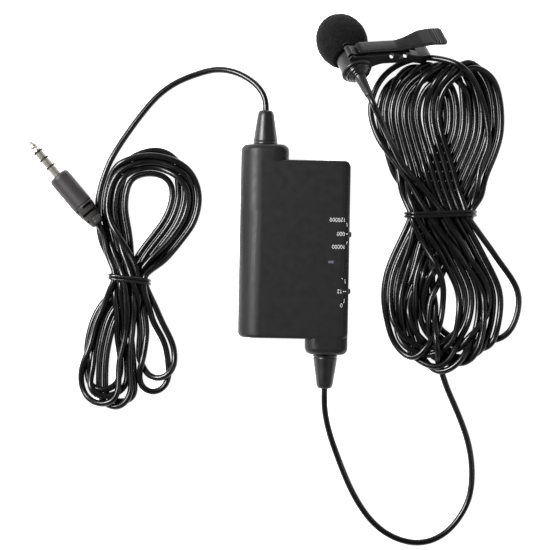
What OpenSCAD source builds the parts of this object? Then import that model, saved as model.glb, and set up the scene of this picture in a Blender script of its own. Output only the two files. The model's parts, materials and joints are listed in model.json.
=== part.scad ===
// Lavalier microphone: a clip-on capsule with a foam windscreen, a battery power module in the
// middle of its cord, and a four-pole 3.5 mm plug. It lies on a surface with both cords in hanks.
// Millimetres, Z up. The origin is the middle of the module's flat back, which rests on z = 0.

/* [Power module] */
// Width of the case, along X
case_w = 34.8; // [33.6:0.2:38]
// Length of the case between its two stubs, along Y
case_l = 56.4; // [54:0.2:60]
// Thickness of the case
case_t = 15; // [15:0.5:16]
// Wall thickness of the case
wall = 1.6; // [1.4:0.1:1.8]
// Length of the stubs that the cords come out of
stub_l = 4.9; // [4:0.1:6]
// Width of the stub on the phone side
phone_stub_w = 15.2; // [14.5:0.1:16]
// Width of the stub on the microphone side
mic_stub_w = 13.4; // [13:0.1:14]

/* [Switches] */
// Travel of each switch knob to either side of its middle
switch_travel = 2.35; // [1.5:0.05:2.4]
// Place of the power switch along the case
power_switch_y = 5.1; // [3:0.1:7]
// Place of the level switch along the case
pad_switch_y = -13; // [-14:0.1:-11]
// How far the knobs stand out of the case
knob_proud = 0.8; // [0.5:0.1:1.5]

/* [Battery] */
// Diameter of the button cell
cell_d = 11.6; // [11.4:0.1:11.6]
// Thickness of the button cell
cell_t = 5.4; // [5:0.1:5.4]
// Width of the sliding battery door
door_w = 12.4; // [12:0.2:13]
// Length of the sliding battery door
door_l = 20.5; // [20:0.5:22]

/* [Cords] */
// Diameter of both cords
cord_d = 2; // [1.8:0.1:2.2]
// Length of each moulded strain relief outside the case
relief_l = 11; // [9:0.5:13]
// Radius of a strain relief where it leaves the case
relief_r = 3.85; // [3.4:0.05:4]
// Height of the phone cord's hank
phone_hank_h = 5.6; // [5:0.1:6.5]
// Height of the microphone cord's hank
mic_hank_h = 7.6; // [7:0.1:8]

/* [Plug] */
// Length of the plug pin from its shoulder to its tip
pin_l = 14.2; // [14:0.1:15]
// Radius of the plug pin
pin_r = 1.75; // [1.75]
// Radius of the plug handle
handle_r = 3.45; // [3.2:0.05:3.45]
// Length of the plug handle
handle_l = 12.4; // [11:0.1:12.6]

/* [Microphone head] */
// Greatest radius of the foam windscreen
foam_r = 8.15; // [7.8:0.05:8.2]
// Half the length of the foam's egg shape
foam_a = 9.5; // [9:0.1:9.8]
// Radius of the capsule housing
housing_r = 3.3; // [3.1:0.05:3.4]
// Width of the clip across its levers
clip_w = 6; // [5.6:0.1:6.2]

/* [Hidden] */
$fn = 48;

black = "#303032";
dark = "#3c3c3f";
cord_black = "#262628";
gold = "#d8a94a";
steel = "#b9bcc0";

// Case: half sizes, edge radii and the plane where the two shells meet
left_r = 7;
right_r = 3;
plan_r = 2;
half_w = case_w / 2;
half_l = case_l / 2;
end_y = half_l + stub_l;
split_z = case_t / 2;
phone_x = -half_w + phone_stub_w / 2;
mic_x = half_w - mic_stub_w / 2 - 0.2;

// Battery bay and its door in the back shell
door_x = -3.6;
plate_t = 0.8;
tongue_t = 0.7;
tongue_w = 0.8;
slide_gap = 0.15;
door_y = -half_l + door_l;
cell_y = door_y - 10;
cell_z = plate_t + tongue_t + 0.2;
bay_r = cell_d / 2 + 0.2;
contact_w = 2.8;

// Circuit board, bosses and switches
board_z = 7.6;
board_t = 1;
boss_r = 2.6;
BOSSES = [[-9, 20.5], [11, -23.2]];
pilot_r = 0.85;
screw_r = 0.8;
head_r = 1.8;
head_h = 1.3;
switch_z = 5.9;
knob_l = 1.9;
knob_h = 1.3;
slider_l = 2.8;
light_x = 11.6;
light_y = -3.8;
light_w = 1.8;
light_h = 0.8;

// Strain reliefs: the neck through the wall and the tip
neck_r = 2.6;
relief_tip_r = 2.4;
relief_end = end_y + relief_l;

// Plug: its shoulder and direction in plan, and its contacts from the shoulder to the tip
PLUG_POS = [-76, 22.3, handle_r + 0.05];
plug_turn = 131;
boot_l = 6.2;
boot_r = [2.7, 1.55];
core_r = 1.05;
insulator_l = 0.7;
SPLITS = [3.6, 6.8, 9.7];

// Microphone head: local X runs along the clip, local Z along the capsule towards its cord
HEAD_POS = [13.9, 66.4, 8.6];
HEAD_TURN = [54.5, 27.5, 7];
foam_back = 6.8;
foam_back_r = foam_r * sqrt(1 - pow(foam_back / foam_a, 2));
foam_bore_r = housing_r + 0.08;
housing_front = -3;
housing_back = 13.4;
cap_back = 15.4;
boot_back = 23.3;
ring_front = 7.1;
ring_back = 13.3;
clip_mid = 9.2;

// Clip, in the head's frame: the pivot and the faces of both levers
PIVOT = [14.6, 4.6];
pivot_pin_r = 0.8;
lug_r = 1.7;
lug_w = 3.4;
jaw_w = 4.2;

// Cord routes: each point is on the cord's centre line; the tubes have this many sides
cord_sides = 8;
PHONE_LEAD = [[phone_x, relief_end, 7.5], [-9.9, 47, 7.3], [-11.5, 50.5, 6.6], [-15.5, 54.2, 5],
    [-20.5, 56.6, 3.2], [-26, 57.3, 1.9], [-31.5, 56, 1.2], [-39, 52.8, 1], [-44.6, 48.6, 1],
    [-49.2, 43.2, 1], [-54, 36.5, 1], [-57.5, 31, 1.3], [-60, 26, 1.8]];
PHONE_TAIL = [[-63.8, 8.3, 3.4], [-62.6, 6.7, 3.1], [-61.2, 4.6, 2.8]];
MIC_LEAD = [[47.2, -34.6, 2], [48.2, -38.5, 1.2], [50, -43.5, 1], [52.5, -49, 1], [55, -54.8, 1],
    [57, -60.5, 1], [58.2, -66.5, 1], [58.5, -73, 1], [57.6, -79, 1], [55, -84.5, 1],
    [50.5, -89.8, 1], [44.5, -92.9, 1], [38, -93, 1], [31.3, -90.4, 1], [26.5, -86.5, 1],
    [22.5, -81.3, 1], [19.5, -76, 1.1], [17, -70.5, 1.4], [14.8, -65, 2.1], [12.8, -59.5, 3.4],
    [11.3, -54, 5], [10.6, -49.5, 6.6], [mic_x, -46.8, 7.3], [mic_x, -relief_end, 7.5]];
MIC_TAIL = [[22.42, 48.3, 20.62], [23.6, 45.8, 21.9], [25.2, 42.6, 21.2], [27.2, 39, 18],
    [29.4, 35.3, 13.6], [31.8, 31.4, 9.8], [34, 27.6, 7.6]];

// Hanks: circles whose hull is each lobe's outline, and the tie around the waist
PHONE_UPPER = [[-47.2, 15, 15.9], [-52.4, -10.5, 5.9]];
PHONE_LOWER = [[-57, -40, 10.6], [-46.6, -35.4, 10.6], [-52.4, -10.5, 5.9]];
PHONE_TIE = [-52.4, -10.5];
phone_waist_w = 10.2;
MIC_UPPER = [[37.2, 45, 13], [52, 47, 12.3], [41, 12.2, 5.6], [52.6, 12.2, 5.6]];
MIC_LOWER = [[41.6, -22, 11], [54, -24.2, 11.4], [62, -12, 10.2],
    [41, 12.2, 5.6], [52.6, 12.2, 5.6]];
MIC_TIE = [46.8, 12.2];
mic_waist_w = 20.6;
tie_t = 0.9;
tie_l = 1.8;

// ---------- shapes that repeat ----------

module rounded_rect(low, high, r) {
    for (x = [low[0] + r, high[0] - r], y = [low[1] + r, high[1] - r])
        translate([x, y]) circle(r);
    translate([low[0] + r, low[1]]) square([high[0] - low[0] - 2 * r, high[1] - low[1]]);
    translate([low[0], low[1] + r]) square([high[0] - low[0], high[1] - low[1] - 2 * r]);
}

// Cross-section of the case in X and Z, set in from its outside by inset
module case_section(inset) {
    span_z = case_t - 2 * inset;
    left = left_r - inset;
    right = right_r - inset;
    for (z = [inset + left, case_t - inset - left])
        translate([-half_w + left_r, z]) circle(left);
    for (z = [inset + right, case_t - inset - right])
        translate([half_w - right_r, z]) circle(right);
    translate([-half_w + left_r, inset]) square([case_w - left_r - right_r, span_z]);
    translate([-half_w + inset, inset + left]) square([left, span_z - 2 * left]);
    translate([half_w - right_r, inset + right]) square([right, span_z - 2 * right]);
}

// Outline of the case seen from the front: a slab with one stub at each end
module case_plan(inset) {
    r = max(plan_r - inset, 0.4);
    rounded_rect([-half_w + inset, -half_l + inset], [half_w - inset, half_l - inset], r);
    rounded_rect([-half_w + inset, 0], [-half_w + phone_stub_w - inset, end_y - inset], r);
    rounded_rect([half_w - mic_stub_w + inset, -end_y + inset], [half_w - inset, 0], r);
}

module case_solid(inset) {
    intersection() {
        rotate([90, 0, 0]) linear_extrude(height = 3 * case_l, center = true) case_section(inset);
        linear_extrude(height = case_t) case_plan(inset);
    }
}

// The slab of space between two heights
module layer(low_z, high_z) {
    translate([-case_l, -case_l, low_z]) cube([2 * case_l, 2 * case_l, high_z - low_z]);
}

// Places its children at a strain relief, with Z along the cord out of the case
module at_relief(side) {
    x = side > 0 ? phone_x : mic_x;
    translate([x, side * end_y, case_t / 2]) rotate([-90 * side, 0, 0]) children();
}

// The holes in the end walls, with a little play around each strain relief's neck
module relief_holes() {
    for (side = [-1, 1]) at_relief(side) translate([0, 0, -wall - 1])
        cylinder(r = neck_r + 0.05, h = wall + 2);
}

module in_plug() {
    translate(PLUG_POS) rotate([0, 90, plug_turn]) children();
}

module in_head() {
    translate(HEAD_POS) rotate(HEAD_TURN) children();
}

// A side outline of a clip lever, given in the head's X and Y, as a solid of the given width
module lever_plate(width) {
    translate([0, 0, clip_mid - width / 2]) linear_extrude(height = width) children();
}

module tube(outer, inner, low_z, high_z) {
    translate([0, 0, low_z]) difference() {
        cylinder(r = outer, h = high_z - low_z);
        translate([0, 0, -1]) cylinder(r = inner, h = high_z - low_z + 2);
    }
}

// ---------- cords ----------

function unit(v) = v / norm(v);
function clamp_at(p, i) = p[min(max(i, 0), len(p) - 1)];
function spline(a, b, c, d, t) =
    0.5 * (2 * b + (c - a) * t + (2 * a - 5 * b + 4 * c - d) * t * t
    + (3 * b - a - 3 * c + d) * t * t * t);
function smooth(p, steps) = concat(
    [for (i = [0:len(p) - 2], k = [0:steps - 1])
        spline(clamp_at(p, i - 1), p[i], p[i + 1], clamp_at(p, i + 2), k / steps)],
    [p[len(p) - 1]]);
function heading(p, i) = unit(clamp_at(p, i + 1) - clamp_at(p, i - 1));
function ring(centre, along, r, n) =
    let (side = unit(cross([0, 0, 1], along)), up = cross(along, side))
    [for (k = [0:n - 1]) centre + r * (cos(360 * k / n) * side + sin(360 * k / n) * up)];

// Keeps a centre line on or above the surface
function lifted(p) = [for (v = p) [v[0], v[1], max(v[2], cord_d / 2)]];

module cord_tube(route) {
    path = lifted(route);
    rings = len(path);
    n = cord_sides;
    points = [for (i = [0:rings - 1]) each ring(path[i], heading(path, i), cord_d / 2, n)];
    walls = [for (i = [0:rings - 2], k = [0:n - 1])
        [i * n + k, (i + 1) * n + k, (i + 1) * n + (k + 1) % n, i * n + (k + 1) % n]];
    first = [for (k = [0:n - 1]) k];
    last = [for (k = [0:n - 1]) rings * n - 1 - k];
    color(cord_black) polyhedron(points, concat([first], walls, [last]), convexity = 6);
}

module lobe(circles) {
    hull() for (c = circles) translate([c[0], c[1]]) circle(c[2], $fn = 32);
}

// The band of a tie, open inside, standing on the surface around a waist
module tie_band(place, waist_w, height) {
    translate([place[0], place[1] + tie_l / 2, 0]) rotate([90, 0, 0])
        linear_extrude(height = tie_l) difference() {
            rounded_rect([-waist_w / 2 - tie_t, 0], [waist_w / 2 + tie_t, height], 1.6);
            rounded_rect([-waist_w / 2, tie_t], [waist_w / 2, height - tie_t], 0.8);
        }
}

// What a tie keeps clear of a hank: its own band and everything outside it
module tie_notch(place, waist_w, height) {
    translate([place[0], place[1] + tie_l / 2, 0]) rotate([90, 0, 0])
        linear_extrude(height = tie_l) difference() {
            translate([-2 * waist_w, -1]) square([4 * waist_w, height + 2]);
            rounded_rect([-waist_w / 2, tie_t], [waist_w / 2, height - tie_t], 0.8);
        }
}

// ---------- power module ----------

module case_front() {
    color(dark) difference() {
        union() {
            difference() {
                intersection() {
                    case_solid(0);
                    layer(split_z, case_t + 1);
                }
                case_solid(wall);
            }
            for (b = BOSSES) translate([b[0], b[1], board_z + board_t + 0.1])
                cylinder(r = boss_r, h = case_t - wall - board_z - board_t);
        }
        for (b = BOSSES) translate([b[0], b[1], board_z]) cylinder(r = pilot_r, h = 5);
        relief_holes();
        translate([light_x - light_w / 2, light_y - light_h / 2, case_t - wall - 1])
            cube([light_w, light_h, wall + 2]);
    }
}

module door_slot() {
    over = 2;
    translate([door_x - door_w / 2 - slide_gap, -half_l - over, -1])
        cube([door_w + 2 * slide_gap, door_l + slide_gap + over, plate_t + 1.1]);
    translate([door_x - door_w / 2 - tongue_w - slide_gap, -half_l - over, plate_t - slide_gap])
        cube([door_w + 2 * (tongue_w + slide_gap), door_l + slide_gap + over, tongue_t + 2 * slide_gap]);
}

module switch_slot(y) {
    slot_l = knob_l + 2 * switch_travel + 0.6;
    translate([half_w - wall - 1, y - slot_l / 2, switch_z - knob_h / 2 - 0.2])
        cube([wall + 2, slot_l, knob_h + 0.4]);
}

module case_back() {
    pad_w = door_w + 2 * tongue_w + 3;
    color(dark) difference() {
        union() {
            difference() {
                intersection() {
                    case_solid(0);
                    layer(0, split_z);
                }
                case_solid(wall);
            }
            translate([door_x - pad_w / 2, -half_l + 0.4, wall - 0.1]) cube([pad_w, door_l + 1.4, 1.1]);
            translate([door_x, cell_y, wall]) cylinder(r = bay_r + 0.9, h = 4.4);
            for (b = BOSSES) translate([b[0], b[1], wall - 0.1])
                cylinder(r = boss_r, h = board_z - wall - 0.1);
        }
        door_slot();
        translate([door_x, cell_y, 1]) cylinder(r = bay_r, h = 8);
        translate([door_x + cell_d / 2, cell_y - contact_w / 2 - 0.2, 2.5])
            cube([1.6, contact_w + 0.4, 6]);
        for (b = BOSSES) translate([b[0], b[1], -1]) {
            cylinder(r = pilot_r + 0.2, h = 12);
            cylinder(r = head_r + 0.15, h = 1 + head_h + 0.3);
        }
        for (y = [power_switch_y, pad_switch_y]) switch_slot(y);
        relief_holes();
    }
}

module case_screws() {
    color(steel) for (b = BOSSES) translate([b[0], b[1], 0.3]) difference() {
        union() {
            cylinder(r = head_r, h = head_h);
            cylinder(r = screw_r, h = 11);
        }
        for (turn = [0, 90]) rotate([0, 0, turn]) translate([-1.1, -0.25, -1]) cube([2.2, 0.5, 1.7]);
    }
}

module battery_door() {
    grip_n = 5;
    color(dark) difference() {
        union() {
            translate([door_x - door_w / 2, -half_l, 0]) cube([door_w, door_l, plate_t]);
            translate([door_x - door_w / 2 - tongue_w, -half_l + 0.2, plate_t])
                cube([door_w + 2 * tongue_w, door_l - 0.4, tongue_t]);
        }
        for (i = [0:grip_n - 1]) translate([door_x - 3.5, -half_l + 2.4 + 1.3 * i, -0.1])
            cube([7, 0.6, 0.4]);
    }
}

module button_cell() {
    color(steel) translate([door_x, cell_y, cell_z]) rotate_extrude()
        polygon([[0, 0], [4.4, 0], [4.7, 0.5], [5.6, 0.5], [cell_d / 2, 0.8],
            [cell_d / 2, cell_t], [0, cell_t]]);
}

module battery_spring() {
    top = board_z - 0.02;
    low = cell_z + cell_t + 0.02;
    color(steel) translate([door_x, cell_y, 0]) {
        translate([-1.5, 6.1, top - 0.2]) cube([3, 2.4, 0.2]);
        translate([1.5, 0, 0]) rotate([0, -90, 0]) linear_extrude(height = 3)
            polygon([[top, 6.2], [top - 0.2, 6.2], [low, 0.6], [low, -1.6], [low + 0.2, -1.6],
                [low + 0.2, 0.5], [top, 5.8]]);
    }
}

module battery_contact() {
    color(steel) translate([door_x + cell_d / 2 + 0.01, cell_y - contact_w / 2, 0]) {
        translate([0, 0, 2.8]) cube([0.18, contact_w, board_z - 2.82]);
        translate([0, 0, board_z - 0.22]) cube([2.6, contact_w, 0.2]);
    }
}

module circuit_board() {
    edge = 0.4;
    color("darkgreen") difference() {
        translate([-half_w + wall + 1, -half_l + wall + edge, board_z])
            cube([case_w - 2 * wall - 1 - edge, case_l - 2 * (wall + edge), board_t]);
        for (b = BOSSES) translate([b[0], b[1], 0]) cylinder(r = pilot_r + 0.2, h = 12);
    }
}

module board_components() {
    top = board_z + board_t;
    color("#55504a") {
        for (at = [[-9, 8], [-3.4, 8]]) translate([at[0], at[1], top]) cylinder(r = 2.2, h = 4.2);
        translate([-11, -6, top]) cube([6, 5, 1.5]);
        translate([-2, -5, top]) cube([4.4, 3.8, 1.2]);
        for (i = [0:4]) translate([-11 + 3 * i, 14, top]) cube([2, 1.2, 0.6]);
        for (i = [0:5]) translate([7.5, -16 + 3.2 * i, top]) cube([1.2, 2, 0.6]);
        translate([light_x - 0.8, light_y - 0.5, top]) cube([1.6, 1, 0.7]);
    }
}

module light_pipe() {
    low = board_z + board_t + 0.9;
    color("#8d83b5") {
        translate([light_x - light_w / 2, light_y - light_h / 2, low])
            cube([light_w, light_h, case_t - low]);
        translate([light_x - light_w / 2 - 0.5, light_y - light_h / 2 - 0.5, case_t - wall - 0.8])
            cube([light_w + 1, light_h + 1, 0.8]);
    }
}

// A slide switch: a can with a channel that the knob's slider runs in
module switch_body(y) {
    body_l = slider_l + 2 * switch_travel + 2;
    channel_l = slider_l + 2 * switch_travel + 0.6;
    body_x = half_w - wall - 0.2 - 3.6;
    color(steel) difference() {
        translate([body_x, y - body_l / 2, board_z - 3.4]) cube([3.6, body_l, 3.4]);
        translate([body_x + 1, y - channel_l / 2, switch_z - 0.75]) cube([3.6, channel_l, 1.5]);
    }
}

module switch_knob(y) {
    slider_x = half_w - wall - 0.2 - 2.4;
    color(black) difference() {
        union() {
            translate([slider_x, y - slider_l / 2, switch_z - 0.6]) cube([1.6, slider_l, 1.2]);
            translate([slider_x, y - knob_l / 2, switch_z - knob_h / 2 + 0.05])
                cube([half_w + knob_proud - slider_x, knob_l, knob_h - 0.1]);
        }
        for (dy = [-0.45, 0.45]) translate([half_w + knob_proud - 0.25, y + dy - 0.12, 0])
            cube([1, 0.24, case_t]);
    }
}

module power_switch_body() { switch_body(power_switch_y); }
module power_switch_knob() { switch_knob(power_switch_y); }
module pad_switch_body() { switch_body(pad_switch_y); }
module pad_switch_knob() { switch_knob(pad_switch_y); }

// Moulded on the cord: a flange inside the wall, a neck through it and a taper outside
module strain_relief(side) {
    color(black) at_relief(side) rotate_extrude()
        polygon([[0, -wall - 2], [3.4, -wall - 2], [3.4, -wall], [neck_r, -wall], [neck_r, 0],
            [relief_r, 0], [relief_r, 1], [relief_tip_r + 0.15, relief_l - 1.1],
            [relief_tip_r - 0.2, relief_l - 0.4], [relief_tip_r - 0.8, relief_l], [0, relief_l]]);
}

module phone_strain_relief() { strain_relief(1); }
module mic_strain_relief() { strain_relief(-1); }

// ---------- cords, hanks and ties ----------

module phone_cord_lead() { cord_tube(smooth(PHONE_LEAD, 2)); }
module phone_cord_tail() { cord_tube(PHONE_TAIL); }
module mic_cord_lead() { cord_tube(smooth(MIC_LEAD, 1)); }
module mic_cord_tail() { cord_tube(smooth(MIC_TAIL, 2)); }

module phone_cord_hank() {
    color(cord_black) difference() {
        linear_extrude(height = phone_hank_h) union() {
            lobe(PHONE_UPPER);
            lobe(PHONE_LOWER);
        }
        tie_notch(PHONE_TIE, phone_waist_w, phone_hank_h + tie_t);
    }
}

module mic_cord_hank() {
    color(cord_black) difference() {
        linear_extrude(height = mic_hank_h) union() {
            lobe(MIC_UPPER);
            lobe(MIC_LOWER);
        }
        tie_notch(MIC_TIE, mic_waist_w, mic_hank_h + tie_t);
    }
}

module phone_hank_tie() { color(black) tie_band(PHONE_TIE, phone_waist_w, phone_hank_h + tie_t); }
module mic_hank_tie() { color(black) tie_band(MIC_TIE, mic_waist_w, mic_hank_h + tie_t); }

// ---------- plug ----------

module plug_tip() {
    color(gold) in_plug() {
        translate([0, 0, -2]) cylinder(r = 0.5, h = SPLITS[2] + 2.2);
        translate([0, 0, SPLITS[2] + insulator_l / 2]) rotate_extrude()
            polygon([[0, 0], [pin_r, 0], [pin_r, 0.5], [1.2, 1.15], [1.55, 1.7], [1.5, 2.2],
                [0.7, pin_l - SPLITS[2] - insulator_l / 2 - 0.25],
                [0, pin_l - SPLITS[2] - insulator_l / 2]]);
    }
}

// One contact sleeve of the pin, between two places measured from the shoulder
module contact(low, high) {
    color(gold) in_plug() tube(pin_r, core_r, low, high);
}

module plug_sleeve() { contact(0, SPLITS[0] - insulator_l / 2); }
module plug_ring_1() { contact(SPLITS[0] + insulator_l / 2, SPLITS[1] - insulator_l / 2); }
module plug_ring_2() { contact(SPLITS[1] + insulator_l / 2, SPLITS[2] - insulator_l / 2); }

module plug_insulators() {
    color(black) in_plug() {
        for (s = SPLITS) tube(pin_r, core_r, s - insulator_l / 2, s + insulator_l / 2);
        tube(core_r, 0.5, -1.5, SPLITS[2] + insulator_l / 2);
    }
}

module plug_handle() {
    color("#4a4848") in_plug() translate([0, 0, -handle_l]) rotate_extrude()
        polygon([[0, 0], [handle_r, 0], [handle_r, handle_l - 0.9], [handle_r - 0.35, handle_l - 0.25],
            [handle_r - 0.8, handle_l], [core_r, handle_l], [core_r, handle_l - 2], [0, handle_l - 2]]);
}

module plug_boot() {
    groove = 0.7;
    rib_n = 3;
    color(black) in_plug() translate([0, 0, -handle_l - boot_l]) difference() {
        rotate_extrude() polygon([[0, 0], [boot_r[1], 0], [boot_r[0], boot_l], [0, boot_l]]);
        for (i = [0:rib_n - 1], side = [-1, 1]) translate([-3, side * 1.9 - 0.9, 1.2 + 1.7 * i])
            cube([6, 1.8, groove]);
    }
}

// ---------- microphone head ----------

// Half outline of the foam: an ellipse cut off at the back
foam_steps = 20;
back_angle = acos(foam_back / foam_a);
FOAM_ARC = [for (i = [0:foam_steps])
    let (t = 180 - i * (180 - back_angle) / foam_steps) [foam_r * sin(t), foam_a * cos(t)]];

module foam_windscreen() {
    color("#2c2c2e") in_head() rotate_extrude()
        polygon(concat(FOAM_ARC, [[foam_bore_r, foam_back], [foam_bore_r, housing_front - 0.5],
            [0, housing_front - 0.5]]));
}

module capsule_housing() {
    color(black) in_head() {
        tube(housing_r, housing_r - 0.4, housing_front, housing_back - 0.8);
        tube(housing_r, 1.6, housing_back - 0.8, housing_back);
    }
}

module housing_back_cap() {
    step_l = 0.5;
    color(black) in_head() {
        translate([0, 0, housing_back - 1.2]) cylinder(r = 1.55, h = 1.3);
        for (i = [0:3]) translate([0, 0, housing_back + step_l * i])
            cylinder(r = housing_r - 0.1 - 0.35 * i, h = step_l);
    }
}

module capsule_grille() {
    holes = 6;
    color(steel) in_head() translate([0, 0, housing_front + 0.1]) difference() {
        cylinder(r = housing_r - 0.42, h = 0.4);
        translate([0, 0, -1]) cylinder(r = 0.4, h = 3);
        for (i = [0:holes - 1]) rotate([0, 0, 60 * i]) translate([1.7, 0, -1]) cylinder(r = 0.4, h = 3);
    }
}

module electret_capsule() {
    color("#c8c2b0") in_head() translate([0, 0, housing_front + 0.9])
        cylinder(r = housing_r - 0.45, h = 2.4);
}

module mic_boot() {
    color(black) in_head() rotate_extrude()
        polygon([[0, cap_back], [1.9, cap_back], [1.9, cap_back + 0.5], [1.6, cap_back + 0.9],
            [1.1, boot_back - 0.2], [1.0, boot_back], [0, boot_back]]);
}

// Side outline of the lower lever: jaw, pivot cheeks and tail
module lower_outline() {
    polygon([[-3.6, 4.2], [-4.4, 5.2], [-4.4, 6.3], [-3.6, 6.9], [-2.8, 6.2], [-1.6, 6],
        [11, 6], [12.4, 6], [17.6, 5.6], [21, 4.4], [26.2, 2.4], [26.2, 1.5], [20, 2.4],
        [16.8, 2.2], [11, 2], [5.8, 2], [4.6, -0.6], [3.4, 0.6], [3.4, 3.2]]);
}

module clip_lower_lever() {
    color(black) in_head() difference() {
        union() {
            lever_plate(clip_w) lower_outline();
            tube(housing_r + 1.25, housing_r + 0.06, ring_front, ring_back);
            tube(housing_r + 1.7, housing_r + 0.06, ring_back - 1.1, ring_back);
        }
        translate([0, 0, ring_front - 1]) cylinder(r = housing_r + 0.06, h = ring_back - ring_front + 2);
        cylinder(r = foam_back_r + 0.6, h = ring_front);
        translate([11.4, 2.9, clip_mid - lug_w / 2 - 0.2]) cube([7, 8, lug_w + 0.4]);
        translate([18, 3.6, clip_mid - 0.6]) cube([3.2, 4, 1.2]);
        translate([PIVOT[0], PIVOT[1], 0]) cylinder(r = pivot_pin_r, h = 30);
        for (dx = [-3, 3]) translate([PIVOT[0] + dx, PIVOT[1] - 0.4, 0]) cylinder(r = 0.75, h = 30);
        for (s = [-1, 1]) translate([-6, 4.7, clip_mid + s * (clip_w / 2 + jaw_w / 2) / 2 - 0.45 - 0.3 * s])
            cube([8, 4, 0.9]);
    }
}

// Side outline of the upper lever: flat jaw, then a paddle that rises away from the tail
module upper_outline() {
    polygon([[-0.6, 6.3], [13.2, 6.3], [17.2, 7.3], [21, 8.6], [25, 9.2], [29.8, 9.1],
        [29.9, 10.3], [25.4, 10.6], [20.6, 10], [16.6, 8.6], [13, 7.5], [0, 7.2], [-0.6, 6.9]]);
}

module upper_plan() {
    polygon([[-1, -jaw_w / 2 + 0.6], [-0.4, -jaw_w / 2], [13.5, -jaw_w / 2], [17, -jaw_w / 2 - 0.3],
        [21.5, -clip_w / 2 + 0.1], [29.4, -clip_w / 2], [30, -clip_w / 2 + 0.6],
        [30, clip_w / 2 - 0.6], [29.4, clip_w / 2], [21.5, clip_w / 2 - 0.1],
        [17, jaw_w / 2 + 0.3], [13.5, jaw_w / 2], [-0.4, jaw_w / 2], [-1, jaw_w / 2 - 0.6]]);
}

module clip_upper_lever() {
    rib_n = 5;
    color("#3a3a3c") in_head() difference() {
        union() {
            intersection() {
                lever_plate(clip_w + 1) upper_outline();
                translate([0, 20, clip_mid]) rotate([90, 0, 0]) linear_extrude(height = 40) upper_plan();
            }
            lever_plate(lug_w) {
                translate(PIVOT) circle(lug_r);
                translate([PIVOT[0] - lug_r, PIVOT[1]]) square([2 * lug_r, 2.4]);
            }
        }
        translate([PIVOT[0], PIVOT[1], 0]) cylinder(r = pivot_pin_r + 0.05, h = 30);
        translate([PIVOT[0] + 0.9, 2, clip_mid - 1]) cube([4, 4.8, 2]);
        for (i = [0:rib_n - 1]) translate([24.6 + 1.05 * i, 10.15, 0]) cube([0.4, 2, 30]);
    }
}

module clip_pin() {
    color(steel) in_head() translate([PIVOT[0], PIVOT[1], clip_mid - clip_w / 2 - 0.3])
        cylinder(r = pivot_pin_r, h = clip_w + 0.6);
}

// A torsion spring beside the lug: its coil rides on the upper lever and presses its paddle up
module clip_spring() {
    color(steel) in_head() {
        translate([PIVOT[0] + 1.7, PIVOT[1] + 0.1, clip_mid - 0.8]) cylinder(r = 0.7, h = 1.6);
        translate([PIVOT[0] + 1.6, PIVOT[1] + 0.4, clip_mid - 0.25]) rotate([0, 0, 34])
            cube([4.2, 0.5, 0.5]);
    }
}

case_front();
case_back();
case_screws();
battery_door();
button_cell();
battery_spring();
battery_contact();
circuit_board();
board_components();
light_pipe();
power_switch_body();
power_switch_knob();
pad_switch_body();
pad_switch_knob();
phone_strain_relief();
mic_strain_relief();
phone_cord_lead();
phone_cord_hank();
phone_cord_tail();
phone_hank_tie();
plug_tip();
plug_ring_1();
plug_ring_2();
plug_sleeve();
plug_insulators();
plug_handle();
plug_boot();
mic_cord_lead();
mic_cord_hank();
mic_cord_tail();
mic_hank_tie();
foam_windscreen();
capsule_housing();
housing_back_cap();
capsule_grille();
electret_capsule();
mic_boot();
clip_lower_lever();
clip_upper_lever();
clip_pin();
clip_spring();
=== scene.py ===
"""Looks of the lavalier microphone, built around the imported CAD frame.

Lengths are in millimetres in this file, and MM turns them into Blender's metres.
"""
import json
import math

import bmesh
import bpy
import numpy as np
from mathutils import Euler, Matrix, Vector, noise


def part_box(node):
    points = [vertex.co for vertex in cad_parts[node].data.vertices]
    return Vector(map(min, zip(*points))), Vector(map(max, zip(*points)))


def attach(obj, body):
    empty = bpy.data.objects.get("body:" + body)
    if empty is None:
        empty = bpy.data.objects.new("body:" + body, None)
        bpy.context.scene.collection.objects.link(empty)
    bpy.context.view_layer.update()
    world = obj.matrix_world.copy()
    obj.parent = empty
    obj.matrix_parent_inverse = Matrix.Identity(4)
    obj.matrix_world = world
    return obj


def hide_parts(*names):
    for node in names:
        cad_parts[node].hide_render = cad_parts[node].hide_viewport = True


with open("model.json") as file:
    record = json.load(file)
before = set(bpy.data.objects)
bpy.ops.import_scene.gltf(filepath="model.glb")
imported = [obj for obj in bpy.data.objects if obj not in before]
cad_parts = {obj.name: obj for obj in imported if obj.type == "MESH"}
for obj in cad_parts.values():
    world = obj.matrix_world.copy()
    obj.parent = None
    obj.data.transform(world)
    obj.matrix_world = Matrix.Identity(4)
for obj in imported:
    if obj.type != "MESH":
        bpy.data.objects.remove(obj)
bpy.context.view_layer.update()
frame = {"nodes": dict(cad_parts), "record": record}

MM = 0.001
CORD_D = 2.0
CORD_R = CORD_D / 2
STEP = 1.25


def node_box(name):
    """Lowest and highest corner of a CAD node, in millimetres."""
    low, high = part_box(name)
    return low / MM, high / MM


def link_new(name, data):
    """A new object in the scene that holds the given data."""
    made = bpy.data.objects.new(name, data)
    bpy.context.scene.collection.objects.link(made)
    return made


# ---------- camera ----------

CAMERA_X, CAMERA_Y, CAMERA_HEIGHT = -5.92, -8.23, 700.0
CAMERA_TURN = 1.1
CAMERA_LENS = 142.5


def make_camera():
    data = bpy.data.cameras.new("camera")
    data.lens = CAMERA_LENS
    data.sensor_width = 36.0
    data.clip_start = 0.01
    data.dof.use_dof = False
    camera = link_new("camera", data)
    camera.location = (CAMERA_X * MM, CAMERA_Y * MM, CAMERA_HEIGHT * MM)
    camera.rotation_euler = (0, 0, math.radians(CAMERA_TURN))
    bpy.context.scene.camera = camera


make_camera()


# ---------- materials ----------

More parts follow.
